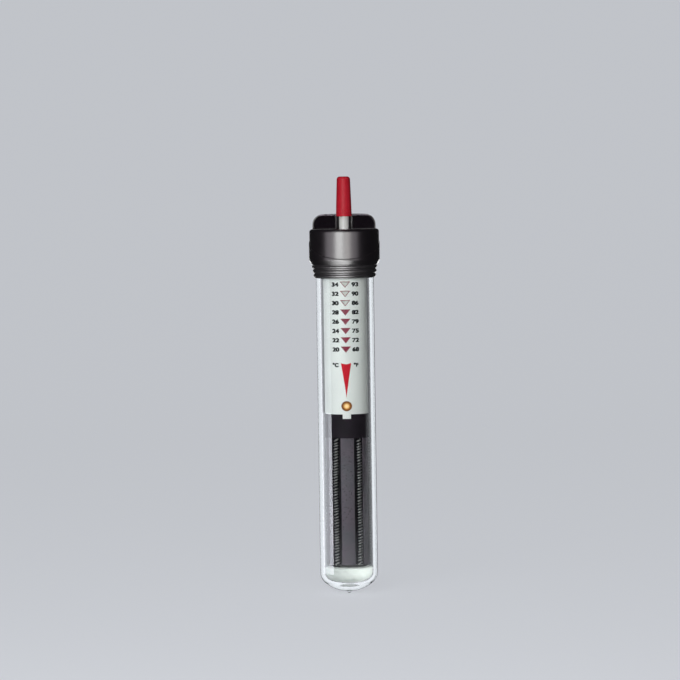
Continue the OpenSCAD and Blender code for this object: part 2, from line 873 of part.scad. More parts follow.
module lamp_resistor() {
    length = 0.7 * lamp_bay;
    tail = 1.5;
    color(phenolic) at_height(element_collar_top) translate([resistor_x, resistor_y, 0]) {
        cylinder(h = length, r = 1.1);
        translate([0, 0, -tail]) cylinder(h = length + 2 * tail, r = lamp_wire_r + fit);
    }
}

// Disc capacitor that leans against the carrier's back
module suppression_capacitor() {
    disc_r = 2.6;
    thickness = 1.8;
    leg_x = 1.5;
    rise = 2;
    inner = frame_r - frame_wall;
    back = sqrt(pow(inner, 2) - pow(disc_r, 2)) - 3 * fit;
    front = back - thickness;
    color("steelblue") at_height(element_collar_top + rise) {
        y_bar(disc_r, front, back);
        for (side = [-1, 1]) translate([side * leg_x, (front + back) / 2, -2 * disc_r])
            cylinder(h = 2 * disc_r, r = lamp_wire_r + fit);
    }
}

module lamp_leads() {
    foot_x = 0.8;
    drop = 1.2;
    color(silver) for (side = [-1, 1]) at_height(element_collar_top) wire([
        [side * foot_x, -lamp_y, 2 * fit],
        [side * foot_x, -lamp_y, -drop],
        [side * resistor_x / 2, resistor_y / 2, -drop - over],
        [side * resistor_x, resistor_y, -drop - 0.7]
    ], lamp_wire_r);
}

module heater_leads() {
    coil_x = coil_ring_r * sin(flute_step / 2);
    coil_y = -coil_ring_r * cos(flute_step / 2);
    start_x = link_ring_r * sin(flute_step / 2);
    start_y = -link_ring_r * cos(flute_step / 2);
    side_y = pivot_y / 3;
    color(white) for (side = [-1, 1]) at_height(0) wire([
        [side * start_x, start_y, core_top + link_rise],
        [side * lead_in * coil_x, lead_in * coil_y, web_bottom - 4 * air],
        [side * lead_in * coil_x, lead_in * coil_y, web_bottom + web_t + disc_t + 2 * over],
        [side * lead_x, side_y, element_collar_top - over],
        [side * lead_x, side_y, cheek_bottom + cheek_drop / 2],
        [side * (lead_x - lead_r), pivot_y + 3 * lead_r, pivot_height]
    ], lead_r);
}

// ---- Heating element ----

// Black collar that joins the element to the thermostat, with a web inside
module element_collar() {
    outer = sleeve_r + 2 * fit;
    inner = frame_r + 2 * fit;
    recess_r = link_ring_r + lead_r + slide;
    hole_x = lead_in * coil_ring_r * sin(flute_step / 2);
    hole_y = -lead_in * coil_ring_r * cos(flute_step / 2);
    color(black) at_height(element_collar_bottom) difference() {
        cylinder(h = element_collar_h, r = outer);
        translate([0, 0, web_bottom + web_t - element_collar_bottom])
            cylinder(h = element_collar_h, r = inner);
        translate([0, 0, -over])
            cylinder(h = web_bottom - element_collar_bottom + over, r = recess_r);
        translate([0, 0, element_collar_h - tab_h])
            slab(tab_w, -2 * outer, -inner + 2 * over, tab_h + over);
        for (side = [-1, 1]) translate([side * hole_x, hole_y, 0])
            cylinder(h = element_collar_h, r = lead_r + 4 * fit);
    }
}

// Mica disc that keeps the element's heat from the thermostat
module insulating_disc() {
    hole_x = lead_in * coil_ring_r * sin(flute_step / 2);
    hole_y = -lead_in * coil_ring_r * cos(flute_step / 2);
    color(brass) at_height(web_bottom + web_t + fit) difference() {
        cylinder(h = disc_t, r = frame_r);
        for (side = [-1, 1]) translate([side * hole_x, hole_y, -over])
            cylinder(h = disc_t + 2 * over, r = lead_r + 4 * fit);
    }
}

// Fluted ceramic core, with a spigot up into the element collar and a bore
module ceramic_core() {
    spigot_r = coil_ring_r - flute_w / 2 - 4 * fit;
    core_bore_r = 1.2;
    color(steatite) at_height(core_bottom) difference() {
        union() {
            linear_extrude(core_length) difference() {
                circle(core_r);
                each_flute() {
                    circle(flute_w / 2);
                    translate([0, -flute_w / 2]) square([core_r, flute_w]);
                }
            }
            cylinder(h = web_bottom - core_bottom - fit, r = spigot_r);
        }
        translate([0, 0, -over]) cylinder(h = core_length + 4 * over, r = core_bore_r);
    }
}

// Close-wound coils, as long as the core allows in whole turns
module heating_coils() {
    turns = floor(core_length / coil_pitch);
    color(nichrome) at_height(core_bottom) each_flute()
        wound_coil(coil_d / 2, coil_wire_d, coil_pitch, turns);
}

// Wires that join neighbouring coils, below and above the core in turn
module coil_links() {
    color(nichrome) for (i = [0:flute_count - 2]) {
        below = i % 2 == 0;
        height = below ? core_bottom - link_rise : core_top + link_rise;
        at_height(height) rotate(-90 + (i + 0.5) * flute_step)
            rotate_extrude(angle = flute_step) translate([link_ring_r, 0]) circle(link_wire_r);
    }
}

// Ceramic-fibre plug that fills the closed end under the element
module end_plug() {
    inset = tube_wall + 4 * fit;
    color(white) at_height(inset) rotate_extrude() intersection() {
        square([tube_r, plug_top - inset]);
        closed_end_half(tube_r - inset, knuckle_r - inset, crown_r - inset, plug_top);
    }
}

cap_housing();
cord_grommet();
knob();
spindle();
spindle_o_ring();
gland_bush();
spindle_clip();
sealing_collar();
tube_stopper();
terminal_posts();
glass_tube();
indicator_drum();
indicator_wrap();
scale_sleeve();
thermostat_frame();
bimetal_blade();
blade_contact();
blade_armature();
snap_magnet();
blade_clamp();
blade_rivets();
setting_nut();
contact_arm();
arm_contact();
arm_pin();
arm_spring();
lamp_lens();
neon_lamp();
lamp_resistor();
suppression_capacitor();
lamp_leads();
heater_leads();
element_collar();
insulating_disc();
ceramic_core();
heating_coils();
coil_links();
end_plug();
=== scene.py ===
"""Looks of the submersible aquarium heater: finishes, print, wire, fibre plug and studio."""
import math

import bmesh
import bpy
import numpy as np
from mathutils import Matrix, Vector


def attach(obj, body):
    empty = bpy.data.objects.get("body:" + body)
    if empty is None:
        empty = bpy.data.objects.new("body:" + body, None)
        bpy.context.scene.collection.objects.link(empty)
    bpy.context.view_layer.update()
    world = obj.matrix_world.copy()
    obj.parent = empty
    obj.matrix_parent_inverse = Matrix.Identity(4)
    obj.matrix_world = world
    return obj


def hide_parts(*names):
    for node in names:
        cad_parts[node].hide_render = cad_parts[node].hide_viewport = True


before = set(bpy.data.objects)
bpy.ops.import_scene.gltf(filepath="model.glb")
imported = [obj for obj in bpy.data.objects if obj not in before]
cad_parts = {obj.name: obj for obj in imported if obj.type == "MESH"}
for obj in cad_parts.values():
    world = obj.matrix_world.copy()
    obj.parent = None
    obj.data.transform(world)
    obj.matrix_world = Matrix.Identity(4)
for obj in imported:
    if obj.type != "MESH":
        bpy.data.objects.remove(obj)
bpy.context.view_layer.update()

# ---- Sizes in millimetres, the same as the source of the solids gives them ----

MM = 0.001
TIP = -72.4003            # the tip of the closed end in the frame; heights below count up from it
SLEEVE_R = 9.4
TOP_ROW, ROW_PITCH, ROWS = 133.7, 4.0, 8
WINDOW_W, WINDOW_H = 3.3, 2.1
CORE_BOTTOM, CORE_TOP = 12.2, 67.25
FLUTES = 6
COIL_RING_R = 8.7
COIL_R, COIL_WIRE_D, COIL_PITCH, COIL_TURNS = 1.1, 0.7, 1.25, 44
LINK_RING_R = COIL_RING_R - COIL_R + COIL_WIRE_D / 2
LINK_RISE = 0.5
PLUG_TOP, PLUG_BOTTOM, PLUG_R = 11.1, 2.1, 10.4
CROWN_R, KNUCKLE_R = 13.9, 3.9
LAMP_HEIGHT = 81.2
SPINDLE_Y = -3.6
NEON_Y = SPINDLE_Y - 1.4
SPRING_BOTTOM, SPRING_TOP = 87.55, 91.0
CAP_LEDGE, CAP_TOP = 157.4, 163.8
RECESS_HALF = 3.45        # half the width of the recess round the knob

SHOWN = bpy.context.scene.collection


# ---- Meshes from arrays ----

def as_piece(name, points, faces, smooth=True):
    """A mesh object from points in millimetres, counted up from the tube's tip, and its faces."""
    place = np.asarray(points, float) + (0.0, 0.0, TIP)
    mesh = bpy.data.meshes.new(name)
    mesh.from_pydata((place * MM).tolist(), [], [tuple(f) for f in faces])
    mesh.polygons.foreach_set("use_smooth", [smooth] * len(mesh.polygons))
    mesh.update()
    piece = bpy.data.objects.new(name, mesh)
    SHOWN.objects.link(piece)
    return piece


def grid_faces(rows, columns, closed=False):
    """Quads between neighbours (i, j), (i, j+1), (i+1, j+1), (i+1, j) of a grid of points. In a
    closed grid the last column meets the first."""
    i, j = np.meshgrid(np.arange(rows - 1), np.arange(columns - (not closed)), indexing="ij")
    here, after = i * columns + j, i * columns + (j + 1) % columns
    return np.stack([here, after, after + columns, here + columns], -1).reshape(-1, 4).tolist()


def swept_wire(path, radius, sides=8):
    """A round wire along a path. At each point t is the direction between its neighbours, n is
    the upright made square to t, b is t x n, and the ring is path + radius (cos a n + sin a b). A
    disc closes each end."""
    path = np.asarray(path, float)
    ahead = np.gradient(path, axis=0)
    t = ahead / np.linalg.norm(ahead, axis=1, keepdims=True)
    up = np.tile((0.0, 0.0, 1.0), (len(path), 1))
    n = up - (up * t).sum(1, keepdims=True) * t
    n /= np.linalg.norm(n, axis=1, keepdims=True)
    b = np.cross(t, n)
    a = np.linspace(0, 2 * np.pi, sides, endpoint=False)[None, :, None]
    rings = path[:, None] + radius * (np.cos(a) * n[:, None] + np.sin(a) * b[:, None])
    faces = grid_faces(len(path), sides, closed=True)
    last = (len(path) - 1) * sides
    faces += [list(range(sides))[::-1], [last + s for s in range(sides)]]
    return rings.reshape(-1, 3), [f[::-1] for f in faces]


def turned_shape(profile, steps, wobble):
    """A closed turned shape: the profile's (radius, height) points run from the bottom pole to the
    top pole, and each is carried round the axis: (r cos a, r sin a, h). wobble(a, s) moves the
    points in along the surface's normal, where s runs from 0 to 1 along the profile."""
    r, h = np.asarray(profile, float).T
    s = np.linspace(0, 1, len(r))
    a = np.linspace(0, 2 * np.pi, steps, endpoint=False)
    dr, dh = np.gradient(r), np.gradient(h)
    length = np.hypot(dr, dh)
    depth = wobble(a[None, :], s[:, None])
    rr = np.clip(r[:, None] - depth * (dh / length)[:, None], 0, None)
    hh = h[:, None] + depth * (dr / length)[:, None]
    points = np.stack([rr * np.cos(a), rr * np.sin(a), hh + 0 * a], -1).reshape(-1, 3)
    return points, grid_faces(len(r), steps, closed=True)


def weld(piece, near=1e-7):
    """Joins points that lie on each other, such as a pole's, and turns the faces outwards."""
    bm = bmesh.new()
    bm.from_mesh(piece.data)
    bmesh.ops.remove_doubles(bm, verts=bm.verts, dist=near)
    bmesh.ops.dissolve_degenerate(bm, dist=near, edges=bm.edges)
    bmesh.ops.recalc_face_normals(bm, faces=bm.faces)
    bm.to_mesh(piece.data)
    bm.free()
    return piece


def above_tip(height):
    """A height that is counted up from the tube's tip, as metres in the frame."""
    return (height + TIP) * MM


# ---- Shared parts of the finishes ----

FLOAT, VECTOR = "NodeSocketFloat", "NodeSocketVector"


def new_group(name, inputs, outputs):
    """An empty shader group that takes a Position and the inputs, (name, type, default), and has
    the outputs, (name, type)."""
    group = bpy.data.node_groups.new(name, "ShaderNodeTree")
    group.interface.new_socket("Position", in_out="INPUT", socket_type=VECTOR)
    for label, kind, value in inputs:
        socket = group.interface.new_socket(label, in_out="INPUT", socket_type=kind)
        socket.default_value = value
    for label, kind in outputs:
        group.interface.new_socket(label, in_out="OUTPUT", socket_type=kind)
    given, out = group.nodes.new("NodeGroupInput"), group.nodes.new("NodeGroupOutput")
    return group, given.outputs, out.inputs


def feed(tree, slot, value):
    """Links an input to a socket, or sets it to a constant."""
    if isinstance(value, bpy.types.NodeSocket):
        tree.links.new(value, slot)
    else:
        slot.default_value = value


def math_node(tree, operation, *values):
    """A Math node whose inputs are numbers or sockets."""
    node = tree.nodes.new("ShaderNodeMath")
    node.operation = operation
    for slot, value in zip(node.inputs, values):
        feed(tree, slot, value)
    return node.outputs[0]


def product(tree, value, *others):
    """The values multiplied with each other."""
    for other in others:
        value = math_node(tree, "MULTIPLY", value, other)
    return value


def distance(tree, x, y):
    """How far the point (x, y) is from the origin: the root of x x + y y."""
    return math_node(tree, "SQRT", math_node(tree, "ADD", product(tree, x, x),
                                             product(tree, y, y)))


def spread(tree, value, low, high, to_low=0.0, to_high=1.0):
    """Maps a value between low and high onto to_low and to_high, smoothly."""
    node = tree.nodes.new("ShaderNodeMapRange")
    node.interpolation_type = "SMOOTHSTEP"
    for slot, amount in (("Value", value), ("From Min", low), ("From Max", high),
                         ("To Min", to_low), ("To Max", to_high)):
        feed(tree, node.inputs[slot], amount)
    return node.outputs["Result"]


def noise(tree, vector, scale, detail=3.0, roughness=0.55):
    """Noise over a vector, as a value around 0.5."""
    node = tree.nodes.new("ShaderNodeTexNoise")
    for slot, value in (("Vector", vector), ("Scale", scale), ("Detail", detail),
                        ("Roughness", roughness)):
        feed(tree, node.inputs[slot], value)
    return node.outputs["Fac"]


def vector_node(tree, operation, a, b):
    """A Vector Math node whose inputs are vectors or sockets."""
    node = tree.nodes.new("ShaderNodeVectorMath")
    node.operation = operation
    feed(tree, node.inputs[0], a)
    feed(tree, node.inputs[1], b)
    return node.outputs


def make_mottle():
    """Cloudy patches of a chosen size in metres, as a mask from 0 to 1."""
    group, given, out = new_group(
        "mottle", [("Patch", FLOAT, 0.004), ("Contrast", FLOAT, 0.2)], [("Mask", FLOAT)])
    scale = math_node(group, "DIVIDE", 1.0, given["Patch"])
    cloud = noise(group, given["Position"], scale, 4.0, 0.6)
    low = math_node(group, "SUBTRACT", 0.5, given["Contrast"])
    high = math_node(group, "ADD", 0.5, given["Contrast"])
    feed(group, out["Mask"], spread(group, cloud, low, high))
    return group


def make_speckle():
    """Small separate grains of a chosen size in metres: 1 in a grain's middle, 0 between them.
    Height has all of them, and Mask a share of them."""
    group, given, out = new_group(
        "speckle", [("Grain", FLOAT, 0.0004), ("Share", FLOAT, 0.3)],
        [("Mask", FLOAT), ("Height", FLOAT)])
    cells = group.nodes.new("ShaderNodeTexVoronoi")
    feed(group, cells.inputs["Vector"], given["Position"])
    feed(group, cells.inputs["Scale"], math_node(group, "DIVIDE", 1.0, given["Grain"]))
    grain = spread(group, cells.outputs["Distance"], 0.15, 0.6, 1.0, 0.0)
    pick = group.nodes.new("ShaderNodeSeparateColor")
    feed(group, pick.inputs[0], cells.outputs["Color"])
    chosen = math_node(group, "LESS_THAN", pick.outputs[0], given["Share"])
    feed(group, out["Mask"], product(group, grain, chosen))
    feed(group, out["Height"], grain)
    return group


def make_streaks():
    """Long fine marks along one axis, as drawn wire, rolled sheet and moulded flow lines have.
    Stretch is the frequency in 1/metre along x, y and z."""
    group, given, out = new_group("streaks", [("Stretch", VECTOR, (4000, 4000, 60))],
                                  [("Mask", FLOAT), ("Height", FLOAT)])
    drawn = vector_node(group, "MULTIPLY", given["Position"], given["Stretch"])[0]
    fine = noise(group, drawn, 1.0, 3.0, 0.6)
    drawn_out = vector_node(group, "MULTIPLY", drawn, (0.2, 0.2, 0.5))[0]
    broad = noise(group, drawn_out, 1.0, 2.0, 0.5)
    feed(group, out["Height"], spread(group, fine, 0.35, 0.65))
    feed(group, out["Mask"], spread(group, product(group, fine, broad), 0.16, 0.36))
    return group


def make_rubbed_edges():
    """Edges, where the normal rounded over a radius departs from the face's own: rubbed edges on
    most pieces, and a painted highlight along the cap's crest.
    """
    group, given, out = new_group(
        "edge_wear_and_highlight", [("Amount", FLOAT, 0.5), ("Radius", FLOAT, 0.00018)],
        [("Mask", FLOAT), ("Normal", VECTOR)])
    bevel = group.nodes.new("ShaderNodeBevel")
    bevel.samples = 4
    feed(group, bevel.inputs["Radius"], given["Radius"])
    rounded = bevel.outputs[0]
    own = group.nodes.new("ShaderNodeNewGeometry").outputs["Normal"]
    agreement = vector_node(group, "DOT_PRODUCT", rounded, own)["Value"]
    edge = spread(group, agreement, 0.8, 0.99, 1.0, 0.0)
    patchy = spread(group, noise(group, given["Position"], 1500.0), 0.35, 0.6)
    feed(group, out["Mask"], product(group, edge, patchy, given["Amount"]))
    feed(group, out["Normal"], rounded)
    return group


def make_settled_dust():
    """Fine pale dust on faces that look up, thinner where they tilt."""
    group, given, out = new_group("settled_dust", [("Amount", FLOAT, 0.2)], [("Mask", FLOAT)])
    parts = group.nodes.new("ShaderNodeSeparateXYZ")
    feed(group, parts.inputs[0], group.nodes.new("ShaderNodeNewGeometry").outputs["Normal"])
    upward = spread(group, parts.outputs["Z"], 0.3, 1.0)
    flecks = spread(group, noise(group, given["Position"], 2600.0, 5.0, 0.7), 0.45, 0.7)
    feed(group, out["Mask"], product(group, upward, flecks, given["Amount"]))
    return group


MOTTLE = make_mottle()
SPECKLE = make_speckle()
STREAKS = make_streaks()
EDGE_WEAR_AND_HIGHLIGHT = make_rubbed_edges()
SETTLED_DUST = make_settled_dust()


class Finish:
    """A material with its Principled shader, and the shared groups placed in it by name."""

    def __init__(self, name, colour, roughness, metallic=0.0, **constants):
        self.material = bpy.data.materials.new(name)
        self.material.use_nodes = True
        self.tree = self.material.node_tree
        self.shader = self.tree.nodes["Principled BSDF"]
        self.shader.inputs["Base Color"].default_value = (*colour, 1)
        self.shader.inputs["Roughness"].default_value = roughness
        self.shader.inputs["Metallic"].default_value = metallic
        for socket, value in constants.items():
            self.shader.inputs[socket.replace("_", " ")].default_value = value
        self.position = self.tree.nodes.new("ShaderNodeTexCoord").outputs["Object"]
        self.colour = (*colour, 1)
        self.normal = None

    def place(self, group, **values):
        """Puts a shared group into this material and feeds it the piece's own position."""
        node = self.tree.nodes.new("ShaderNodeGroup")
        node.node_tree = group
        feed(self.tree, node.inputs["Position"], self.position)
        for socket, value in values.items():
            node.inputs[socket].default_value = value
        return node.outputs

    def cloud(self, patch, contrast):
        """A mask of cloudy patches, of a size in metres."""
        return self.place(MOTTLE, Patch=patch, Contrast=contrast)["Mask"]

    def grain(self, size):
        """A height map of close grains, of a size in metres."""
        return self.place(SPECKLE, Grain=size, Share=1.0)["Height"]

    def lines(self, *stretch):
        """A height map of fine lines, from their frequency in 1/metre along x, y and z."""
        return self.place(STREAKS, Stretch=stretch)["Height"]

    def axis(self, name):
        """One coordinate of the piece's own position."""
        parts = self.tree.nodes.new("ShaderNodeSeparateXYZ")
        feed(self.tree, parts.inputs[0], self.position)
        return parts.outputs[name]

    def within(self, low, high):
        """1 nearer to the tube's axis than low, and 0 farther from it than high, in metres."""
        away = distance(self.tree, self.axis("X"), self.axis("Y"))
        return spread(self.tree, away, low, high, 1.0, 0.0)

    def tint(self, mask, colour, amount=1.0):
        """Mixes a second colour in where the mask is 1."""
        mix = self.tree.nodes.new("ShaderNodeMix")
        mix.data_type = "RGBA"
        if amount != 1.0:
            mask = product(self.tree, mask, amount)
        feed(self.tree, mix.inputs["Factor"], mask)
        feed(self.tree, mix.inputs[6], self.colour)
        mix.inputs[7].default_value = (*colour, 1)
        self.colour = mix.outputs[2]
        feed(self.tree, self.shader.inputs["Base Color"], self.colour)

    def rough(self, mask, low, high):
        """Roughness from low where the mask is 0 to high where it is 1."""
        feed(self.tree, self.shader.inputs["Roughness"],
             spread(self.tree, mask, 0.0, 1.0, low, high))

    def raise_by(self, height, depth):
        """Adds a height map, with its depth in metres, to the bump."""
        bump = self.tree.nodes.new("ShaderNodeBump")
        bump.inputs["Strength"].default_value = 1.0
        bump.inputs["Distance"].default_value = depth
        feed(self.tree, bump.inputs["Height"], height)
        if self.normal is not None:
            feed(self.tree, bump.inputs["Normal"], self.normal)
        self.turn_to(bump.outputs["Normal"])

    def turn_to(self, normal):
        """Shades the piece by this normal. The bumps that follow start from it."""
        self.normal = normal
        feed(self.tree, self.shader.inputs["Normal"], normal)


def show_mixed(tree, mask, first, second):
    """Shows the first shader where the mask is 0 and the second where it is 1."""
    mix = tree.nodes.new("ShaderNodeMixShader")
    feed(tree, mix.inputs["Fac"], mask)
    feed(tree, mix.inputs[1], first.outputs[0])
    feed(tree, mix.inputs[2], second.outputs[0])
    feed(tree, tree.nodes["Material Output"].inputs["Surface"], mix.outputs[0])


# ---- Finishes ----

def glossy_cap_plastic():
    """Black moulded cap: a softly shining turned body, polished above the ledge on both sides of
    the recess, with a pale highlight painted along its crest."""
    crest_depth, ledge_margin, polish = 0.7, 0.1, 0.03
    f = Finish("black_cap_plastic", (0.0045, 0.0018, 0.0045), 0.27, IOR=1.52,
               Specular_IOR_Level=1.0)
    edges = f.place(EDGE_WEAR_AND_HIGHLIGHT, Amount=0.35, Radius=0.0006)
    f.turn_to(edges["Normal"])
    f.tint(edges["Mask"], (0.06, 0.05, 0.056))
    # Painted highlight: a pale line tinted along the edges of the crest, where a highlight would
    # fall.
    crest = math_node(f.tree, "GREATER_THAN", f.axis("Z"), above_tip(CAP_TOP - crest_depth))
    painted_crest_highlight = f.place(EDGE_WEAR_AND_HIGHLIGHT, Amount=14.0, Radius=0.0013)["Mask"]
    f.tint(product(f.tree, painted_crest_highlight, crest), (0.52, 0.47, 0.55))
    body = spread(f.tree, f.cloud(0.006, 0.5), 0.0, 1.0, 0.27, 0.32)
    above = math_node(f.tree, "GREATER_THAN", f.axis("Z"), above_tip(CAP_LEDGE + ledge_margin))
    aside = math_node(f.tree, "GREATER_THAN", math_node(f.tree, "ABSOLUTE", f.axis("X")),
                      RECESS_HALF * MM)
    f.rough(product(f.tree, above, aside), body, polish)
    f.tint(f.place(SETTLED_DUST, Amount=0.10)["Mask"], (0.35, 0.34, 0.33))
    f.raise_by(f.lines(900, 900, 60), 0.0000012)
    return f.material


def satin_rubber(name, colour, bloom):
    """Black rubber with a faint grey bloom and a fine skin."""
    f = Finish(name, colour, 0.42, IOR=1.5, Specular_IOR_Level=0.8)
    f.tint(f.cloud(0.003, 0.2), bloom, 0.6)
    f.rough(f.cloud(0.0016, 0.3), 0.30, 0.42)
    f.raise_by(f.grain(0.00022), 0.000008)
    f.tint(f.place(SETTLED_DUST, Amount=0.18)["Mask"], (0.3, 0.29, 0.28))
    return f.material


def red_knob_plastic():
    """Red moulded knob: satin, pinker in patches and paler where its edges are rubbed."""
    f = Finish("red_knob_plastic", (0.64, 0.016, 0.034), 0.44, IOR=1.49,
               Specular_IOR_Level=0.22, Subsurface_Weight=0.12,
               Subsurface_Radius=(0.0012, 0.0003, 0.0003), Subsurface_Scale=1.0)
    edges = f.place(EDGE_WEAR_AND_HIGHLIGHT, Amount=0.45)
    f.tint(f.cloud(0.004, 0.25), (0.70, 0.026, 0.05), 0.7)
    f.tint(edges["Mask"], (0.76, 0.14, 0.15))
    f.rough(f.cloud(0.0013, 0.35), 0.38, 0.5)
    f.raise_by(f.lines(2600, 2600, 120), 0.000004)
    return f.material


def white_nylon(name, colour=(0.93, 0.93, 0.92)):
    """White moulded nylon, slightly translucent, with flow marks."""
    f = Finish(name, colour, 0.36, IOR=1.53, Subsurface_Weight=0.15,
               Subsurface_Radius=(0.0008, 0.0008, 0.0007), Subsurface_Scale=1.0)
    f.tint(f.cloud(0.0022, 0.25), (0.80, 0.81, 0.79), 0.6)
    f.rough(f.cloud(0.0012, 0.3), 0.3, 0.46)
    f.raise_by(f.lines(1800, 1800, 90), 0.000005)
    return f.material


def printed_sleeve_card():
    """White coated card, rolled, with its butt joint down the back."""
    f = Finish("sleeve_card", (0.92, 0.925, 0.92), 0.5, IOR=1.48, Specular_IOR_Level=0.2)
    f.tint(f.cloud(0.009, 0.25), (0.87, 0.88, 0.88), 0.8)
    fibres = f.place(STREAKS, Stretch=(900, 900, 2600))
    f.tint(fibres["Mask"], (0.95, 0.955, 0.945), 0.35)
    aside = math_node(f.tree, "ABSOLUTE", f.axis("X"))
    joint = spread(f.tree, aside, 0.00006, 0.00016, 1.0, 0.0)
    behind = math_node(f.tree, "GREATER_THAN", f.axis("Y"), 0.0)
    f.tint(product(f.tree, joint, behind), (0.30, 0.31, 0.30), 0.8)
    f.rough(fibres["Mask"], 0.4, 0.55)
    f.raise_by(fibres["Height"], 0.000006)
    return f.material


def crimson_film():
    """Dark crimson printed film on the drum."""
    f = Finish("crimson_film", (0.36, 0.012, 0.055), 0.32, IOR=1.5)
    f.tint(f.cloud(0.0018, 0.3), (0.27, 0.008, 0.045), 0.8)
    f.rough(f.cloud(0.0008, 0.3), 0.26, 0.42)
    f.raise_by(f.grain(0.00018), 0.000004)
    return f.material


def drawn_glass():
    """Clear tube glass. Shadow rays pass it straight, a little tinted, so the inside is lit."""
    f = Finish("tube_glass", (0.965, 0.985, 0.975), 0.015, IOR=1.47, Transmission_Weight=1.0)
    f.rough(f.cloud(0.012, 0.2), 0.0, 0.025)
    f.raise_by(f.cloud(0.009, 0.5), 0.000008)
    clear = f.tree.nodes.new("ShaderNodeBsdfTransparent")
    clear.inputs["Color"].default_value = (0.93, 0.955, 0.945, 1)
    path = f.tree.nodes.new("ShaderNodeLightPath")
    show_mixed(f.tree, path.outputs["Is Shadow Ray"], f.shader, clear)
    return f.material


def moulded_phenolic(name, colour, second, gloss, shine=0.5):
    """Moulded phenolic: filler flecks, flow lines and a worn parting edge."""
    f = Finish(name, colour, gloss, IOR=1.55, Specular_IOR_Level=shine)
    edges = f.place(EDGE_WEAR_AND_HIGHLIGHT, Amount=0.4)
    f.turn_to(edges["Normal"])
    flecks = f.place(SPECKLE, Grain=0.0005, Share=0.25)
    f.tint(f.cloud(0.005, 0.25), second, 0.7)
    f.tint(flecks["Mask"], tuple(min(1.0, 2.1 * c + 0.01) for c in colour), 0.5)
    f.tint(edges["Mask"], tuple(min(1.0, 3.0 * c + 0.03) for c in colour))
    f.rough(f.cloud(0.0014, 0.3), gloss - 0.06, gloss + 0.12)
    f.raise_by(f.lines(1400, 1400, 70), 0.000006)
    return f.material


def rolled_metal(name, colour, second, roughness, stretch=(3200, 3200, 90)):
    """Rolled or drawn metal: fine marks along its length and a patchy tarnish."""
    f = Finish(name, colour, roughness, metallic=1.0)
    marks = f.place(STREAKS, Stretch=stretch)
    f.tint(f.cloud(0.0025, 0.25), second, 0.8)
    f.tint(marks["Mask"], tuple(0.82 * c for c in colour), 0.4)
    f.rough(marks["Mask"], roughness - 0.08, roughness + 0.14)
    f.raise_by(marks["Height"], 0.0000012)
    return f.material


def resistance_wire():
    """Resistance wire: grey, bright where it is rubbed, with painted shade deep in the flutes."""
    f = Finish("resistance_wire", (0.80, 0.78, 0.79), 0.30, metallic=1.0)
    f.tint(f.cloud(0.004, 0.2), (0.56, 0.54, 0.55))
    f.tint(f.cloud(0.0016, 0.2), (0.90, 0.88, 0.88), 0.5)
    # Painted shade: the wire's inner side, deep in its flute, is darkened.
    f.tint(f.within(0.0086, 0.0091), (0.02, 0.018, 0.02))
    f.rough(f.cloud(0.0011, 0.3), 0.26, 0.38)
    f.raise_by(f.grain(0.00016), 0.000006)
    return f.material


def fired_core():
    """Fired ceramic core: mauve grey, with paler grains and dark pores, and painted shade in the
    flutes.
    """
    f = Finish("fired_ceramic", (0.140, 0.110, 0.140), 0.7, IOR=1.5, Specular_IOR_Level=0.2)
    f.tint(f.cloud(0.011, 0.22), (0.108, 0.110, 0.126), 0.9)
    grains = f.place(SPECKLE, Grain=0.00045, Share=0.3)
    f.tint(grains["Mask"], (0.20, 0.17, 0.20), 0.55)
    pores = f.place(SPECKLE, Grain=0.0007, Share=0.16)
    f.tint(pores["Mask"], (0.035, 0.03, 0.035), 0.7)
    # Painted shade: the floors of the flutes, near the axis, are darkened.
    f.tint(f.within(0.0088, 0.00905), (0.008, 0.005, 0.009))
    f.rough(f.cloud(0.002, 0.3), 0.5, 0.74)
    f.raise_by(grains["Height"], 0.00002)
    return f.material


def ceramic_fibre():
    """White ceramic fibre: soft, matt, with a fine tangle of fibres."""
    f = Finish("ceramic_fibre", (0.86, 0.89, 0.87), 0.9, Sheen_Weight=0.25, Sheen_Roughness=0.5)
    tangle = f.place(STREAKS, Stretch=(900, 2400, 1500))
    cross = f.place(STREAKS, Stretch=(2600, 800, 2200))
    f.tint(f.cloud(0.004, 0.25), (0.78, 0.81, 0.79), 0.8)
    f.tint(cross["Mask"], (0.90, 0.92, 0.90), 0.4)
    f.raise_by(tangle["Height"], 0.00005)
    f.raise_by(cross["Height"], 0.00004)
    return f.material


def woven_sleeving():
    """Glass-fibre sleeving over a lead: white with a fine diagonal braid."""
    f = Finish("fibre_sleeving", (0.72, 0.70, 0.62), 0.7)
    braid = f.tree.nodes.new("ShaderNodeTexWave")
    braid.bands_direction = "DIAGONAL"
    braid.inputs["Scale"].default_value = 900.0
    braid.inputs["Distortion"].default_value = 1.5
    feed(f.tree, braid.inputs["Vector"], f.position)
    f.tint(braid.outputs["Fac"], (0.60, 0.57, 0.48), 0.5)
    f.tint(f.cloud(0.002, 0.25), (0.66, 0.62, 0.50), 0.5)
    f.raise_by(braid.outputs["Fac"], 0.00004)
    return f.material


def split_mica():
    """Mica sheet: pale brown, layered, half glossy."""
    f = Finish("mica_sheet", (0.46, 0.36, 0.20), 0.3, IOR=1.58, Coat_Weight=0.3)
    f.tint(f.cloud(0.003, 0.2), (0.32, 0.22, 0.11))
    f.tint(f.place(SPECKLE, Grain=0.0009, Share=0.3)["Mask"], (0.60, 0.52, 0.36), 0.6)
    f.rough(f.cloud(0.001, 0.3), 0.2, 0.5)
    f.raise_by(f.lines(700, 700, 9000), 0.00001)
    return f.material


def painted_part(name, colour, second, gloss):
    """Lacquered small part: slightly uneven lacquer with a fine orange peel."""
    f = Finish(name, colour, gloss, Coat_Weight=0.4, Coat_Roughness=0.15)
    f.tint(f.cloud(0.0018, 0.25), second, 0.7)
    f.rough(f.cloud(0.0009, 0.3), gloss - 0.06, gloss + 0.1)
    f.raise_by(f.grain(0.0003), 0.000008)
    return f.material


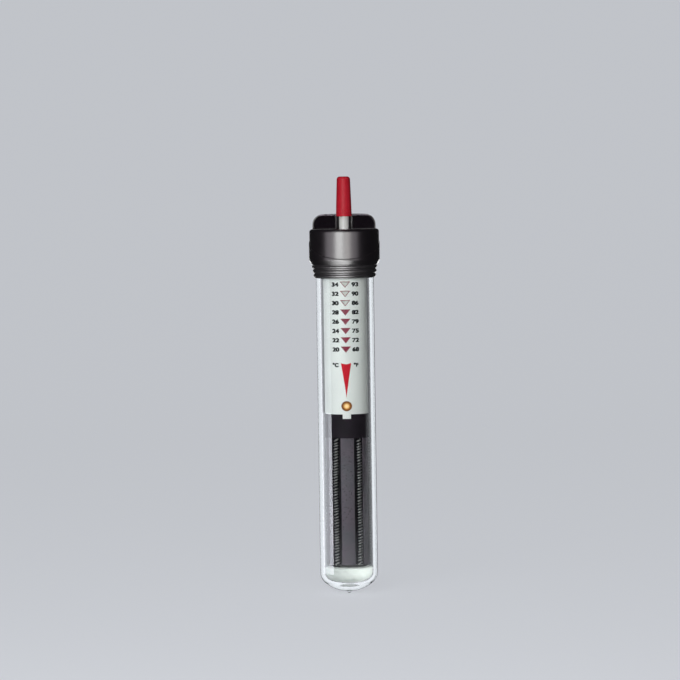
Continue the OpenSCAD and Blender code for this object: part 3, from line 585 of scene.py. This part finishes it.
def glow_in_rings(f, centre, radius, colours):
    """Lets a material glow in rings round an axis: the colours follow each other evenly from the
    axis out to the radius. centre has the axis's two coordinates by name."""
    aside = [math_node(f.tree, "SUBTRACT", f.axis(name), at) for name, at in centre.items()]
    ring = spread(f.tree, distance(f.tree, *aside), 0.0, radius)
    ring.node.interpolation_type = "LINEAR"
    ramp = f.tree.nodes.new("ShaderNodeValToRGB")
    feed(f.tree, ramp.inputs["Fac"], ring)
    stops = ramp.color_ramp.elements
    stops[0].color = (*colours[0], 1)
    stops[1].color = (*colours[-1], 1)
    for i, colour in enumerate(colours[1:-1], 1):
        stops.new(i / (len(colours) - 1)).color = (*colour, 1)
    feed(f.tree, f.shader.inputs["Emission Color"], ramp.outputs["Color"])


def lit_amber_lens():
    """Amber lens over the lit pilot lamp: pale yellow in the middle, burnt orange at the rim."""
    f = Finish("amber_lens", (0.13, 0.045, 0.010), 0.22, IOR=1.5, Coat_Weight=0.4,
               Coat_Roughness=0.05, Emission_Strength=0.95)
    glow_in_rings(f, {"X": 0.0, "Z": above_tip(LAMP_HEIGHT)}, 0.00215,
                  [(1.0, 0.78, 0.42), (1.0, 0.76, 0.38), (0.92, 0.58, 0.20),
                   (0.34, 0.13, 0.025), (0.10, 0.03, 0.006), (0.06, 0.016, 0.004)])
    f.tint(f.cloud(0.0012, 0.25), (0.18, 0.07, 0.015), 0.6)
    f.raise_by(f.grain(0.0005), 0.00002)
    return f.material


def lit_neon():
    """The pilot lamp's bulb, glowing orange around its electrodes."""
    f = Finish("neon_bulb", (0.60, 0.24, 0.08), 0.1, IOR=1.5, Emission_Strength=1.2)
    glow_in_rings(f, {"X": 0.0, "Y": NEON_Y * MM}, 0.0022,
                  [(1.0, 0.62, 0.22), (1.0, 0.36, 0.06), (0.55, 0.12, 0.01)])
    f.rough(f.cloud(0.001, 0.3), 0.05, 0.2)
    f.raise_by(f.lines(300, 300, 60), 0.00001)
    return f.material


def print_ink(name, colour, second):
    """Screen-printed ink: dense, with a slightly uneven film."""
    f = Finish(name, colour, 0.5, Specular_IOR_Level=0.1)
    f.tint(f.cloud(0.0012, 0.3), second, 0.6)
    f.rough(f.cloud(0.0005, 0.3), 0.42, 0.6)
    f.raise_by(f.grain(0.0002), 0.000005)
    return f.material


def magnet_ferrite():
    """Sintered ferrite: dark grey with a fine grain and chipped edges."""
    f = Finish("magnet_ferrite", (0.035, 0.035, 0.038), 0.5, IOR=1.9)
    edges = f.place(EDGE_WEAR_AND_HIGHLIGHT, Amount=0.6)
    grains = f.place(SPECKLE, Grain=0.00025, Share=0.4)
    f.tint(grains["Mask"], (0.08, 0.08, 0.085), 0.7)
    f.tint(edges["Mask"], (0.16, 0.16, 0.165))
    f.raise_by(grains["Height"], 0.00001)
    return f.material


FINISHES = {
    glossy_cap_plastic(): ["cap_housing"],
    satin_rubber("collar_rubber", (0.018, 0.016, 0.019), (0.035, 0.032, 0.036)):
        ["sealing_collar"],
    satin_rubber("grommet_rubber", (0.022, 0.021, 0.023), (0.045, 0.043, 0.046)):
        ["cord_grommet"],
    satin_rubber("seal_rubber", (0.02, 0.02, 0.02), (0.03, 0.03, 0.03)): ["spindle_o_ring"],
    red_knob_plastic(): ["knob"],
    white_nylon("stem_nylon"): ["spindle"],
    white_nylon("bush_nylon", (0.74, 0.74, 0.70)): ["gland_bush"],
    white_nylon("stopper_moulding", (0.72, 0.73, 0.72)): ["tube_stopper"],
    white_nylon("drum_moulding", (0.80, 0.80, 0.78)): ["indicator_drum"],
    printed_sleeve_card(): ["scale_sleeve"],
    crimson_film(): ["indicator_wrap"],
    drawn_glass(): ["glass_tube"],
    moulded_phenolic("brown_phenolic", (0.17, 0.075, 0.035), (0.12, 0.05, 0.025), 0.42):
        ["thermostat_frame"],
    moulded_phenolic("black_phenolic", (0.011, 0.007, 0.012), (0.020, 0.012, 0.021), 0.55, 0.12):
        ["element_collar"],
    rolled_metal("bimetal_strip", (0.50, 0.47, 0.43), (0.42, 0.36, 0.30), 0.34):
        ["bimetal_blade"],
    rolled_metal("turned_brass", (0.70, 0.50, 0.20), (0.55, 0.36, 0.14), 0.26,
                 (250, 250, 6000)): ["terminal_posts", "setting_nut"],
    rolled_metal("sheet_brass", (0.72, 0.52, 0.22), (0.56, 0.38, 0.16), 0.32):
        ["contact_arm", "blade_clamp"],
    rolled_metal("contact_silver", (0.82, 0.81, 0.78), (0.62, 0.60, 0.56), 0.2,
                 (3500, 3500, 3500)): ["blade_contact", "arm_contact"],
    rolled_metal("bright_steel", (0.56, 0.56, 0.57), (0.42, 0.42, 0.43), 0.3):
        ["spindle_clip", "arm_pin", "blade_rivets", "blade_armature"],
    rolled_metal("tinned_wire", (0.66, 0.66, 0.67), (0.50, 0.50, 0.50), 0.28): ["lamp_leads"],
    magnet_ferrite(): ["snap_magnet"],
    lit_amber_lens(): ["lamp_lens"],
    lit_neon(): ["neon_lamp"],
    painted_part("resistor_lacquer", (0.42, 0.30, 0.17), (0.34, 0.22, 0.12), 0.4):
        ["lamp_resistor"],
    painted_part("capacitor_lacquer", (0.05, 0.16, 0.30), (0.035, 0.12, 0.24), 0.3):
        ["suppression_capacitor"],
    woven_sleeving(): ["heater_leads"],
    split_mica(): ["insulating_disc"],
    fired_core(): ["ceramic_core"],
}

for material, names in FINISHES.items():
    for name in names:
        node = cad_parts[name]
        if not node.material_slots:
            node.data.materials.append(material)
        for holder in node.material_slots:
            holder.material = material


def dress(piece, material, body, slot_name, *replaced):
    """Gives a new piece its finish and body, and hides the solids that it stands for; slot_name is
    not used.
    """
    piece.data.materials.append(material)
    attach(piece, body)
    if replaced:
        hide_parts(*replaced)
    return piece


# ---- Resistance wire: six windings in the flutes, joined end to end ----

def flute_angle(index):
    """Angle of a flute round the tube's axis. The front lies between the last and the first."""
    return math.radians(-90 + (index + 0.5) * 360 / FLUTES)


def winding_path(index):
    """One winding's centre line. Its angle runs through the turns, its height climbs by the pitch
    with slow unevenness, and over the last half turn at each end its radius goes over to the end of
    a link. The winding's own middle lies against a side of its flute and wanders a little."""
    upwards = index % 2 == 1
    points_in_turn, end_turns = 16, 0.5
    turn = np.linspace(0, COIL_TURNS, points_in_turn * COIL_TURNS + 1)
    ends = np.clip(np.minimum(turn, COIL_TURNS - turn) / end_turns, 0, 1)
    middle = COIL_R - COIL_WIRE_D / 2
    radius = middle + 0.02 * np.sin(turn * 0.83 + index) * ends
    low = CORE_BOTTOM + COIL_WIRE_D / 2
    high = CORE_BOTTOM + COIL_TURNS * COIL_PITCH - COIL_WIRE_D / 2
    uneven = 0.10 * np.sin(turn * 0.55 + 2.1 * index) + 0.06 * np.sin(turn * 1.9 + index)
    height = low + (high - low) * turn / COIL_TURNS + uneven * ends
    height += (turn < end_turns) * (1 - ends) * (CORE_BOTTOM - LINK_RISE - low)
    height += (turn > COIL_TURNS - end_turns) * (1 - ends) * (CORE_TOP + LINK_RISE - high)
    flute = flute_angle(index)
    angle = flute + math.pi + 2 * np.pi * turn
    lean = (1 if math.cos(flute) > 0 else -1) * (0.5 + 0.12 * np.sin(turn * 0.21 + 1.7 * index))
    aside = lean * np.sin(np.pi * turn / COIL_TURNS) ** 0.25
    x = COIL_RING_R * math.cos(flute) + radius * np.cos(angle) - aside * math.sin(flute)
    y = COIL_RING_R * math.sin(flute) + radius * np.sin(angle) + aside * math.cos(flute)
    path = np.stack([x, y, height], -1)
    return path if upwards else path[::-1]


def link_path(index):
    """The wire between two windings, on the ring through their inner sides. Between its ends it
    sags by a sine, down at the bottom and up at the top."""
    below = index % 2 == 0
    height = CORE_BOTTOM - LINK_RISE if below else CORE_TOP + LINK_RISE
    sag = -0.06 if below else 0.06
    first = flute_angle(index)
    angle = first + np.linspace(0, 1, 16)[1:-1] * 2 * np.pi / FLUTES
    return np.stack([LINK_RING_R * np.cos(angle), LINK_RING_R * np.sin(angle),
                     height + sag * np.sin((angle - first) * FLUTES / 2)], -1)


def resistance_windings():
    """One wire through all six windings and the five links between them."""
    stretches = []
    for index in range(FLUTES):
        stretches.append(winding_path(index))
        if index < FLUTES - 1:
            stretches.append(link_path(index))
    points, faces = swept_wire(np.concatenate(stretches), COIL_WIRE_D / 2)
    return weld(as_piece("resistance_windings", points, faces))


WINDINGS = dress(resistance_windings(), resistance_wire(), "heater_body", "nichrome",
                 "heating_coils", "coil_links")


# ---- The arm's spring, wound from round wire ----

def coiled_spring():
    """A compression spring: a helix with closed ends, where the height stays and only the angle
    runs on."""
    turns, closed_turns, points_in_turn, wire_r = 6, 0.6, 20, 0.19
    low, high = SPRING_BOTTOM + 0.2, SPRING_TOP - 0.2
    turn = np.linspace(0, turns, points_in_turn * turns + 1)
    height = low + (high - low) * np.clip(
        (turn - closed_turns) / (turns - 2 * closed_turns), 0, 1)
    path = np.stack([np.cos(2 * np.pi * turn), SPINDLE_Y + np.sin(2 * np.pi * turn), height], -1)
    points, faces = swept_wire(path, wire_r)
    return weld(as_piece("coiled_spring", points, faces))


dress(coiled_spring(), rolled_metal("spring_steel", (0.60, 0.60, 0.61), (0.46, 0.46, 0.47), 0.28),
      "heater_body", "steel_parts", "arm_spring")


# ---- Ceramic-fibre plug ----

def plug_profile():
    """Half outline of the plug from the bottom pole to the top pole: a wide crown arc, a knuckle
    arc, a straight side, a rounded rim and a slightly crowned top."""
    rim_r, below_top, bulge = 0.9, 0.2, 0.18
    centre = math.sqrt((CROWN_R - KNUCKLE_R) ** 2 - (PLUG_R - KNUCKLE_R) ** 2)
    knuckle_h = PLUG_BOTTOM + CROWN_R - centre
    rim_h = PLUG_TOP - below_top - rim_r
    tilt = math.asin((PLUG_R - KNUCKLE_R) / (CROWN_R - KNUCKLE_R))
    crown = np.linspace(0, tilt, 26)
    knuckle = np.linspace(tilt, math.pi / 2, 16)[1:]
    side = np.linspace(knuckle_h, rim_h, 10)[1:-1]
    rim = np.linspace(0, math.pi / 2, 8)
    inward = np.linspace(PLUG_R - rim_r, 0, 26)[1:]
    r = [CROWN_R * np.sin(crown), PLUG_R - KNUCKLE_R + KNUCKLE_R * np.sin(knuckle),
         PLUG_R + 0 * side, PLUG_R - rim_r + rim_r * np.cos(rim), inward]
    h = [PLUG_BOTTOM + CROWN_R - CROWN_R * np.cos(crown), knuckle_h - KNUCKLE_R * np.cos(knuckle),
         side, rim_h + rim_r * np.sin(rim),
         PLUG_TOP - below_top + bulge * (1 - (inward / PLUG_R) ** 2)]
    return np.stack([np.concatenate(r), np.concatenate(h)], -1)


def packed_fibre(a, s):
    """Depth of the dents where the fibre was packed in: waves round and up the plug, added up."""
    dents = 0.05 * (1 + np.sin(5 * a + 9 * s)) + 0.04 * (1 + np.sin(9 * a - 21 * s + 1)) \
        + 0.03 * (1 + np.sin(17 * a + 31 * s + 2)) + 0.02 * (1 + np.sin(29 * a - 47 * s))
    return dents * np.sin(np.pi * np.clip(s, 0.02, 0.98)) ** 0.5


plug_points, plug_faces = turned_shape(plug_profile(), 128, packed_fibre)
PLUG = dress(weld(as_piece("fibre_plug", plug_points, plug_faces)), ceramic_fibre(), "heater_body",
             "fibre_plug", "end_plug")


# ---- Print on the sleeve, in millimetres ----

PRINT_LIFT = 0.03         # from the sleeve to the print
CAPITAL = 0.70            # a capital's share of the lettering's size
BOLD = 0.16               # by this the lettering's outline is moved out
CUT_PITCH = 0.3           # between the upright cuts that let the lettering bend
COLUMN_X = 4.25
NUMBER_W, NUMBER_H = 3.15, 1.62
SIGN_ROW, SIGN_H, SIGN_STRETCH = 99.0, 1.5, 1.15
OUTLINE_EDGE = 0.22
ARROW_TOP, ARROW_TIP, ARROW_HALF = 99.8, 85.0, 2.1


def on_sleeve(across, height):
    """Wraps flat print round the sleeve: its distance across, over the sleeve's radius, becomes the
    angle from the front."""
    angle = across / SLEEVE_R
    r = SLEEVE_R + PRINT_LIFT
    return np.stack([r * np.sin(angle), -r * np.cos(angle), height + 0 * angle], -1)


def row_height(index):
    """Height of a window, counted from the lowest."""
    return TOP_ROW - (ROWS - 1 - index) * ROW_PITCH


def emboldened(points, triangles, amount):
    """Moves the outline of flat triangles outwards. An outline edge is one whose reverse isn't an
    edge too; its normal is its direction turned clockwise, and a point moves along the sum of its
    edges' normals, brought to the length amount."""
    edges = np.concatenate([triangles[:, [0, 1]], triangles[:, [1, 2]], triangles[:, [2, 0]]])
    forth = edges[:, 0] * len(points) + edges[:, 1]
    back = edges[:, 1] * len(points) + edges[:, 0]
    rim = edges[~np.isin(forth, back)]
    along = points[rim[:, 1]] - points[rim[:, 0]]
    normal = np.stack([along[:, 1], -along[:, 0], 0 * along[:, 0]], -1)
    normal /= np.linalg.norm(normal, axis=1, keepdims=True)
    shift = np.zeros_like(points)
    np.add.at(shift, rim[:, 0], normal)
    np.add.at(shift, rim[:, 1], normal)
    length = np.linalg.norm(shift, axis=1, keepdims=True)
    return points + amount * shift / np.maximum(length, 1e-6)


def mesh_points(mesh):
    """The mesh's points as an array, a row each."""
    points = np.empty(3 * len(mesh.vertices))
    mesh.vertices.foreach_get("co", points)
    return points.reshape(-1, 3)


def flat_words(body, height):
    """Flat bold lettering as arrays, centred on the origin, its capitals of the given height."""
    curve = bpy.data.curves.new("words", "FONT")
    curve.body = body
    curve.size = height / CAPITAL
    curve.align_x, curve.align_y = "CENTER", "CENTER"
    holder = bpy.data.objects.new("words", curve)
    SHOWN.objects.link(holder)
    bpy.context.view_layer.update()
    mesh = bpy.data.meshes.new_from_object(
        holder.evaluated_get(bpy.context.evaluated_depsgraph_get()))
    bm = bmesh.new()
    bm.from_mesh(mesh)
    bmesh.ops.remove_doubles(bm, verts=bm.verts, dist=1e-4)
    bmesh.ops.triangulate(bm, faces=bm.faces)
    bm.to_mesh(mesh)
    bm.clear()
    triangles = np.empty(3 * len(mesh.polygons), int)
    mesh.polygons.foreach_get("vertices", triangles)
    bold = emboldened(mesh_points(mesh), triangles.reshape(-1, 3), BOLD)
    mesh.vertices.foreach_set("co", bold.ravel())
    bm.from_mesh(mesh)
    reach = np.abs(bold[:, 0]).max()
    for cut in np.arange(-reach, reach, CUT_PITCH):
        bmesh.ops.bisect_plane(bm, geom=bm.verts[:] + bm.edges[:] + bm.faces[:],
                               plane_co=(cut, 0, 0), plane_no=(1, 0, 0), dist=1e-5)
    bm.to_mesh(mesh)
    bm.free()
    points = mesh_points(mesh)
    faces = [tuple(polygon.vertices) for polygon in mesh.polygons]
    bpy.data.objects.remove(holder)
    bpy.data.meshes.remove(mesh)
    middle = (points.max(0) + points.min(0)) / 2
    return points - middle, faces


def joined(name, parts):
    """One piece from several (points, faces)."""
    points, faces, count = [], [], 0
    for p, f in parts:
        points.append(p)
        faces += [[i + count for i in face] for face in f]
        count += len(p)
    return as_piece(name, np.concatenate(points), faces, smooth=False)


def scale_numbers():
    """The two columns of numbers and their unit signs, wrapped round the sleeve."""
    left, right = (34, 32, 30, 28, 26, 24, 22, 20), (93, 90, 86, 82, 79, 75, 72, 68)
    words = [(str(n), side * COLUMN_X, row_height(ROWS - 1 - i), NUMBER_H)
             for side, column in ((-1, left), (1, right)) for i, n in enumerate(column)]
    words += [("°C", -COLUMN_X - 0.25, SIGN_ROW, SIGN_H), ("°F", COLUMN_X, SIGN_ROW, SIGN_H)]
    parts = []
    for body, across, height, size in words:
        flat, faces = flat_words(body, size)
        stretch = NUMBER_W / np.ptp(flat[:, 0]) if body.isdigit() else SIGN_STRETCH
        parts.append((on_sleeve(across + flat[:, 0] * stretch, height + flat[:, 1]), faces))
    return joined("scale_numbers", parts)


def outline_rings():
    """A printed outline round each window: the window's triangle, and one that is wider by an even
    border, with the mitred corners joined."""
    side_steps = 8
    lean = math.atan2(WINDOW_W / 2, WINDOW_H)
    out_x = WINDOW_W / 2 + OUTLINE_EDGE * (1 + math.sin(lean)) / math.cos(lean)
    out_low = -WINDOW_H / 2 - OUTLINE_EDGE / math.sin(lean)
    triangles = [np.array([[-x, high], [x, high], [0, low]]) for x, high, low in (
        (WINDOW_W / 2, WINDOW_H / 2, -WINDOW_H / 2), (out_x, WINDOW_H / 2 + OUTLINE_EDGE, out_low))]
    s = np.linspace(0, 1, side_steps + 1)[:-1, None]
    flat = np.concatenate([corners[i] * (1 - s) + corners[(i + 1) % 3] * s
                           for corners in triangles for i in range(3)])
    faces = grid_faces(2, 3 * side_steps, closed=True)
    return joined("window_outlines", [
        (on_sleeve(flat[:, 0], row_height(i) + flat[:, 1]), faces) for i in range(ROWS)])


def level_arrow():
    """The long arrow under the scale: its half width falls from the shoulder to the tip by a
    slightly hollow curve, and its top is notched."""
    columns, rows, notch, tip_half = 13, 41, 0.55, 0.04
    s, t = np.meshgrid(np.linspace(-1, 1, columns), np.linspace(0, 1, rows), indexing="ij")
    half = ARROW_HALF * (1 - t) ** 1.15 + tip_half
    top = ARROW_TOP - notch * (1 - np.abs(s)) * (1 - t) ** 6
    height = top + (ARROW_TIP - ARROW_TOP) * t
    points = on_sleeve((s * half).ravel(), height.ravel())
    faces = [f[::-1] for f in grid_faces(columns, rows)]
    return as_piece("level_arrow", points, faces, smooth=False)


BLACK_INK = print_ink("black_ink", (0.004, 0.005, 0.006), (0.012, 0.013, 0.013))
NUMBERS = dress(scale_numbers(), BLACK_INK, "heater_body", "black_plastic")
DARK_RED_INK = print_ink("dark_red_ink", (0.32, 0.035, 0.06), (0.40, 0.07, 0.09))
OUTLINES = dress(outline_rings(), DARK_RED_INK, "heater_body", "crimson_film")
RED_INK = print_ink("red_ink", (0.70, 0.011, 0.030), (0.60, 0.010, 0.026))
ARROW = dress(level_arrow(), RED_INK, "heater_body", "red_plastic")


# ---- Studio ----

PALE = (0.60, 0.62, 0.66)
WHITE = (1, 1, 1)


def studio_sweep():
    """Floor and backdrop in one surface: flat, then a quarter circle, then upright."""
    front, bend_start, bend_r, top, half_width, floor_height = -2.2, 0.9, 0.9, 3.0, 3.0, -1.0
    floor = np.linspace(front, bend_start, 30)
    bend = np.linspace(0, np.pi / 2, 24)[1:]
    wall = np.linspace(bend_r, top, 13)[1:]
    run = np.concatenate([floor, bend_start + bend_r * np.sin(bend),
                          bend_start + bend_r + 0 * wall])
    rise = np.concatenate([0 * floor, bend_r - bend_r * np.cos(bend), wall])
    x = np.linspace(-half_width, half_width, 40)
    y, z = run[:, None] + 0 * x, rise[:, None] + 0 * x
    points = np.stack([x + 0 * y, y, z], -1).reshape(-1, 3) / MM + (0, 0, floor_height)
    return as_piece("studio_sweep", points, grid_faces(len(run), len(x)))


def plainly_seen(tree, direct, mirrored, through, inside):
    """The share of its glow that a ray gets, until it has met a matt surface: direct for rays
    straight from the camera, mirrored for reflections, through for rays that passed the glass wall
    once, and inside for rays that crossed the whole tube."""
    path = tree.nodes.new("ShaderNodeLightPath").outputs
    crossed = math_node(tree, "GREATER_THAN", path["Transmission Depth"], 2.5)
    passed = spread(tree, crossed, 0.0, 1.0, through, inside)
    shares = [product(tree, path[kind], share) for kind, share in (
        ("Is Camera Ray", direct), ("Is Glossy Ray", mirrored), ("Is Transmission Ray", passed))]
    seen = math_node(tree, "MAXIMUM", shares[0], math_node(tree, "MAXIMUM", shares[1], shares[2]))
    return product(tree, seen, math_node(tree, "LESS_THAN", path["Diffuse Depth"], 0.5))


def plain_backdrop():
    """Pale matt paper. Seen by the camera it has its own plain colour and keeps the object's
    shadow. Through the rim of the glass it is bright behind the object and dim in front of it, and
    through the whole tube it is dark. Its bounce is low, so the object's shade stays."""
    material = bpy.data.materials.new("pale_paper")
    material.use_nodes = True
    tree = material.node_tree
    paper = tree.nodes["Principled BSDF"]
    paper.inputs["Base Color"].default_value = (*(0.32 * c for c in PALE), 1)
    paper.inputs["Roughness"].default_value = 0.9
    paper.inputs["Specular IOR Level"].default_value = 0.1
    glow = tree.nodes.new("ShaderNodeEmission")
    glow.inputs["Color"].default_value = (*PALE, 1)
    glow.inputs["Strength"].default_value = 1.5
    lit = tree.nodes.new("ShaderNodeAddShader")
    feed(tree, lit.inputs[0], paper.outputs[0])
    feed(tree, lit.inputs[1], glow.outputs[0])
    parts = tree.nodes.new("ShaderNodeSeparateXYZ")
    feed(tree, parts.inputs[0], tree.nodes.new("ShaderNodeTexCoord").outputs["Object"])
    aside = product(tree, math_node(tree, "ABSOLUTE", parts.outputs["X"]), 0.3)
    back = math_node(tree, "SUBTRACT", parts.outputs["Y"], aside)
    behind = spread(tree, back, -0.35, -0.12, 0.06, 1.0)
    show_mixed(tree, plainly_seen(tree, 0.573, 0.0, behind, 0.03), paper, lit)
    return material


CAP, COLLAR, GLASS = (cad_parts[n] for n in ("cap_housing", "sealing_collar", "glass_tube"))
ELEMENT = (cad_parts["ceramic_core"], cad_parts["element_collar"], WINDINGS)
SCALE = (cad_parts["scale_sleeve"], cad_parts["indicator_wrap"], NUMBERS, OUTLINES,
         ARROW)

sweep = studio_sweep()
sweep.data.materials.append(plain_backdrop())
sweep.visible_glossy = False


def lamp_panel(name, place, facing, width, height, radiance, tone=WHITE, only=(), spared=()):
    """A flat rectangular lamp at place, in metres, that faces along a direction. With only, it
    lights nothing but those pieces, and with spared, everything but those."""
    lamp = bpy.data.lights.new(name, "AREA")
    lamp.shape = "RECTANGLE"
    lamp.size, lamp.size_y = width, height
    lamp.energy = math.pi * width * height * radiance
    lamp.color = tone
    holder = bpy.data.objects.new(name, lamp)
    SHOWN.objects.link(holder)
    holder.location = place
    holder.rotation_mode = "QUATERNION"
    holder.rotation_quaternion = (-Vector(facing)).to_track_quat("Z", "Y")
    holder.visible_camera = False
    holder.visible_transmission = False
    if only or spared:
        group = bpy.data.collections.new(name)
        for piece in (*only, *spared):
            group.objects.link(piece)
        for member in group.collection_objects:
            member.light_linking.link_state = "EXCLUDE" if spared else "INCLUDE"
        holder.light_linking.receiver_collection = group
    return holder


def softbox(name, start, end, low, high, radiance, tone=WHITE, only=(), spared=(), away=0.80):
    """An upright panel that faces the object, between two azimuths. These are counted in degrees
    from the camera's side, positive to the right; low and high are its edges' heights."""
    middle, half = math.radians((start + end) / 2), math.radians(abs(end - start) / 2)
    place = Vector((away * math.sin(middle), -away * math.cos(middle), 0))
    return lamp_panel(name, (place.x, place.y, (low + high) / 2), -place,
                      2 * away * math.tan(half), high - low, radiance, tone, only, spared)


softbox("left_box", -30, -3.5, 0.038, 0.300, 8.2, (0.985, 1.0, 0.995))
softbox("right_box", 3.5, 20, 0.038, 0.300, 4.4, (1.0, 0.955, 0.925), spared=ELEMENT + SCALE)
softbox("scale_card", -30, -3.5, 0.038, 0.300, 5.0, only=SCALE)
lamp_panel("top_box", (-0.20, -0.55, 0.72), (0.20, 0.55, -0.70), 0.60, 0.34, 2.0)
rear_fill = softbox("rear_fill", 160, 200, 0.038, 0.300, 4.0, spared=(sweep,))
rear_fill.visible_glossy = False

# These show as reflections in the cap and the collar only.
shine = [softbox(name, start, end, -0.150, high, radiance, tone, lit)
         for name, start, end, high, radiance, tone, lit in (
             ("cap_side", -64, -30, 0.300, 1.6, (1.0, 0.92, 0.99), (CAP, COLLAR)),
             ("cap_far_side", 14, 44, 0.300, 1.3, (1.0, 0.92, 0.99), (CAP, COLLAR)),
             ("cap_card", -30, 14, 0.056, 4.8, (1.0, 0.98, 0.975), (CAP,)),
             ("collar_card", -30, 14, 0.200, 10.0, (1.0, 0.98, 0.975), (COLLAR,)),
             ("cap_rear", 162, 198, 0.300, 4.5, WHITE, (CAP, COLLAR)))]
shine.append(lamp_panel("cap_floor", (-0.08, -0.35, -0.07), (0, 0, 1), 0.26, 0.50, 9.0,
                        only=(CAP, COLLAR)))

# These are strips close to the glass, and show in the glass only.
shine += [softbox(name, start, end, low, high, radiance, (0.89, 0.92, 1.0), (GLASS,), away=0.09)
          for name, start, end, low, high, radiance in (
              ("lower_strip", -60, -75, -0.0742, 0.0000, 10.0),
              ("lower_sheet", -75, -112, -0.0742, 0.0000, 5.0),
              ("upper_strip", -60, -75, 0.0000, 0.0608, 2.8),
              ("upper_sheet", -75, -112, 0.0000, 0.0608, 2.2))]
for panel in shine:
    panel.visible_diffuse = False

lamp_panel("plug_light", (0.105, -0.055, -0.050), (-0.85, 0.45, -0.1), 0.05, 0.04, 18.0,
           only=(PLUG,))

world = bpy.data.worlds.new("studio")
bpy.context.scene.world = world
world.use_nodes = True
sky = world.node_tree.nodes["Background"]
sky.inputs["Color"].default_value = (*PALE, 1)
seen = plainly_seen(world.node_tree, 1.0, 0.03, 1.0, 0.08)
feed(world.node_tree, sky.inputs["Strength"],
     spread(world.node_tree, seen, 0.0, 1.0, 0.04, 1.0))


# ---- Camera: along +Y, from a little above, rolled so that the object's top leans left ----

AIM = Vector((-0.00246, 0.0, 0.0369))
DISTANCE = 1.637
ELEVATION = math.radians(3.0)
ROLL = math.radians(0.85)

lens = bpy.data.cameras.new("camera")
lens.lens, lens.sensor_width = 200, 36
lens.clip_start, lens.clip_end = 0.05, 20
camera = bpy.data.objects.new("camera", lens)
SHOWN.objects.link(camera)
backward = Vector((0, -math.cos(ELEVATION), math.sin(ELEVATION)))
camera.location = AIM + backward * DISTANCE
camera.rotation_mode = "QUATERNION"
camera.rotation_quaternion = (Matrix.Rotation(ROLL, 3, -backward)
                              @ (-backward).to_track_quat("-Z", "Y").to_matrix()).to_quaternion()
bpy.context.scene.camera = camera
bpy.context.scene.view_settings.view_transform = "Standard"
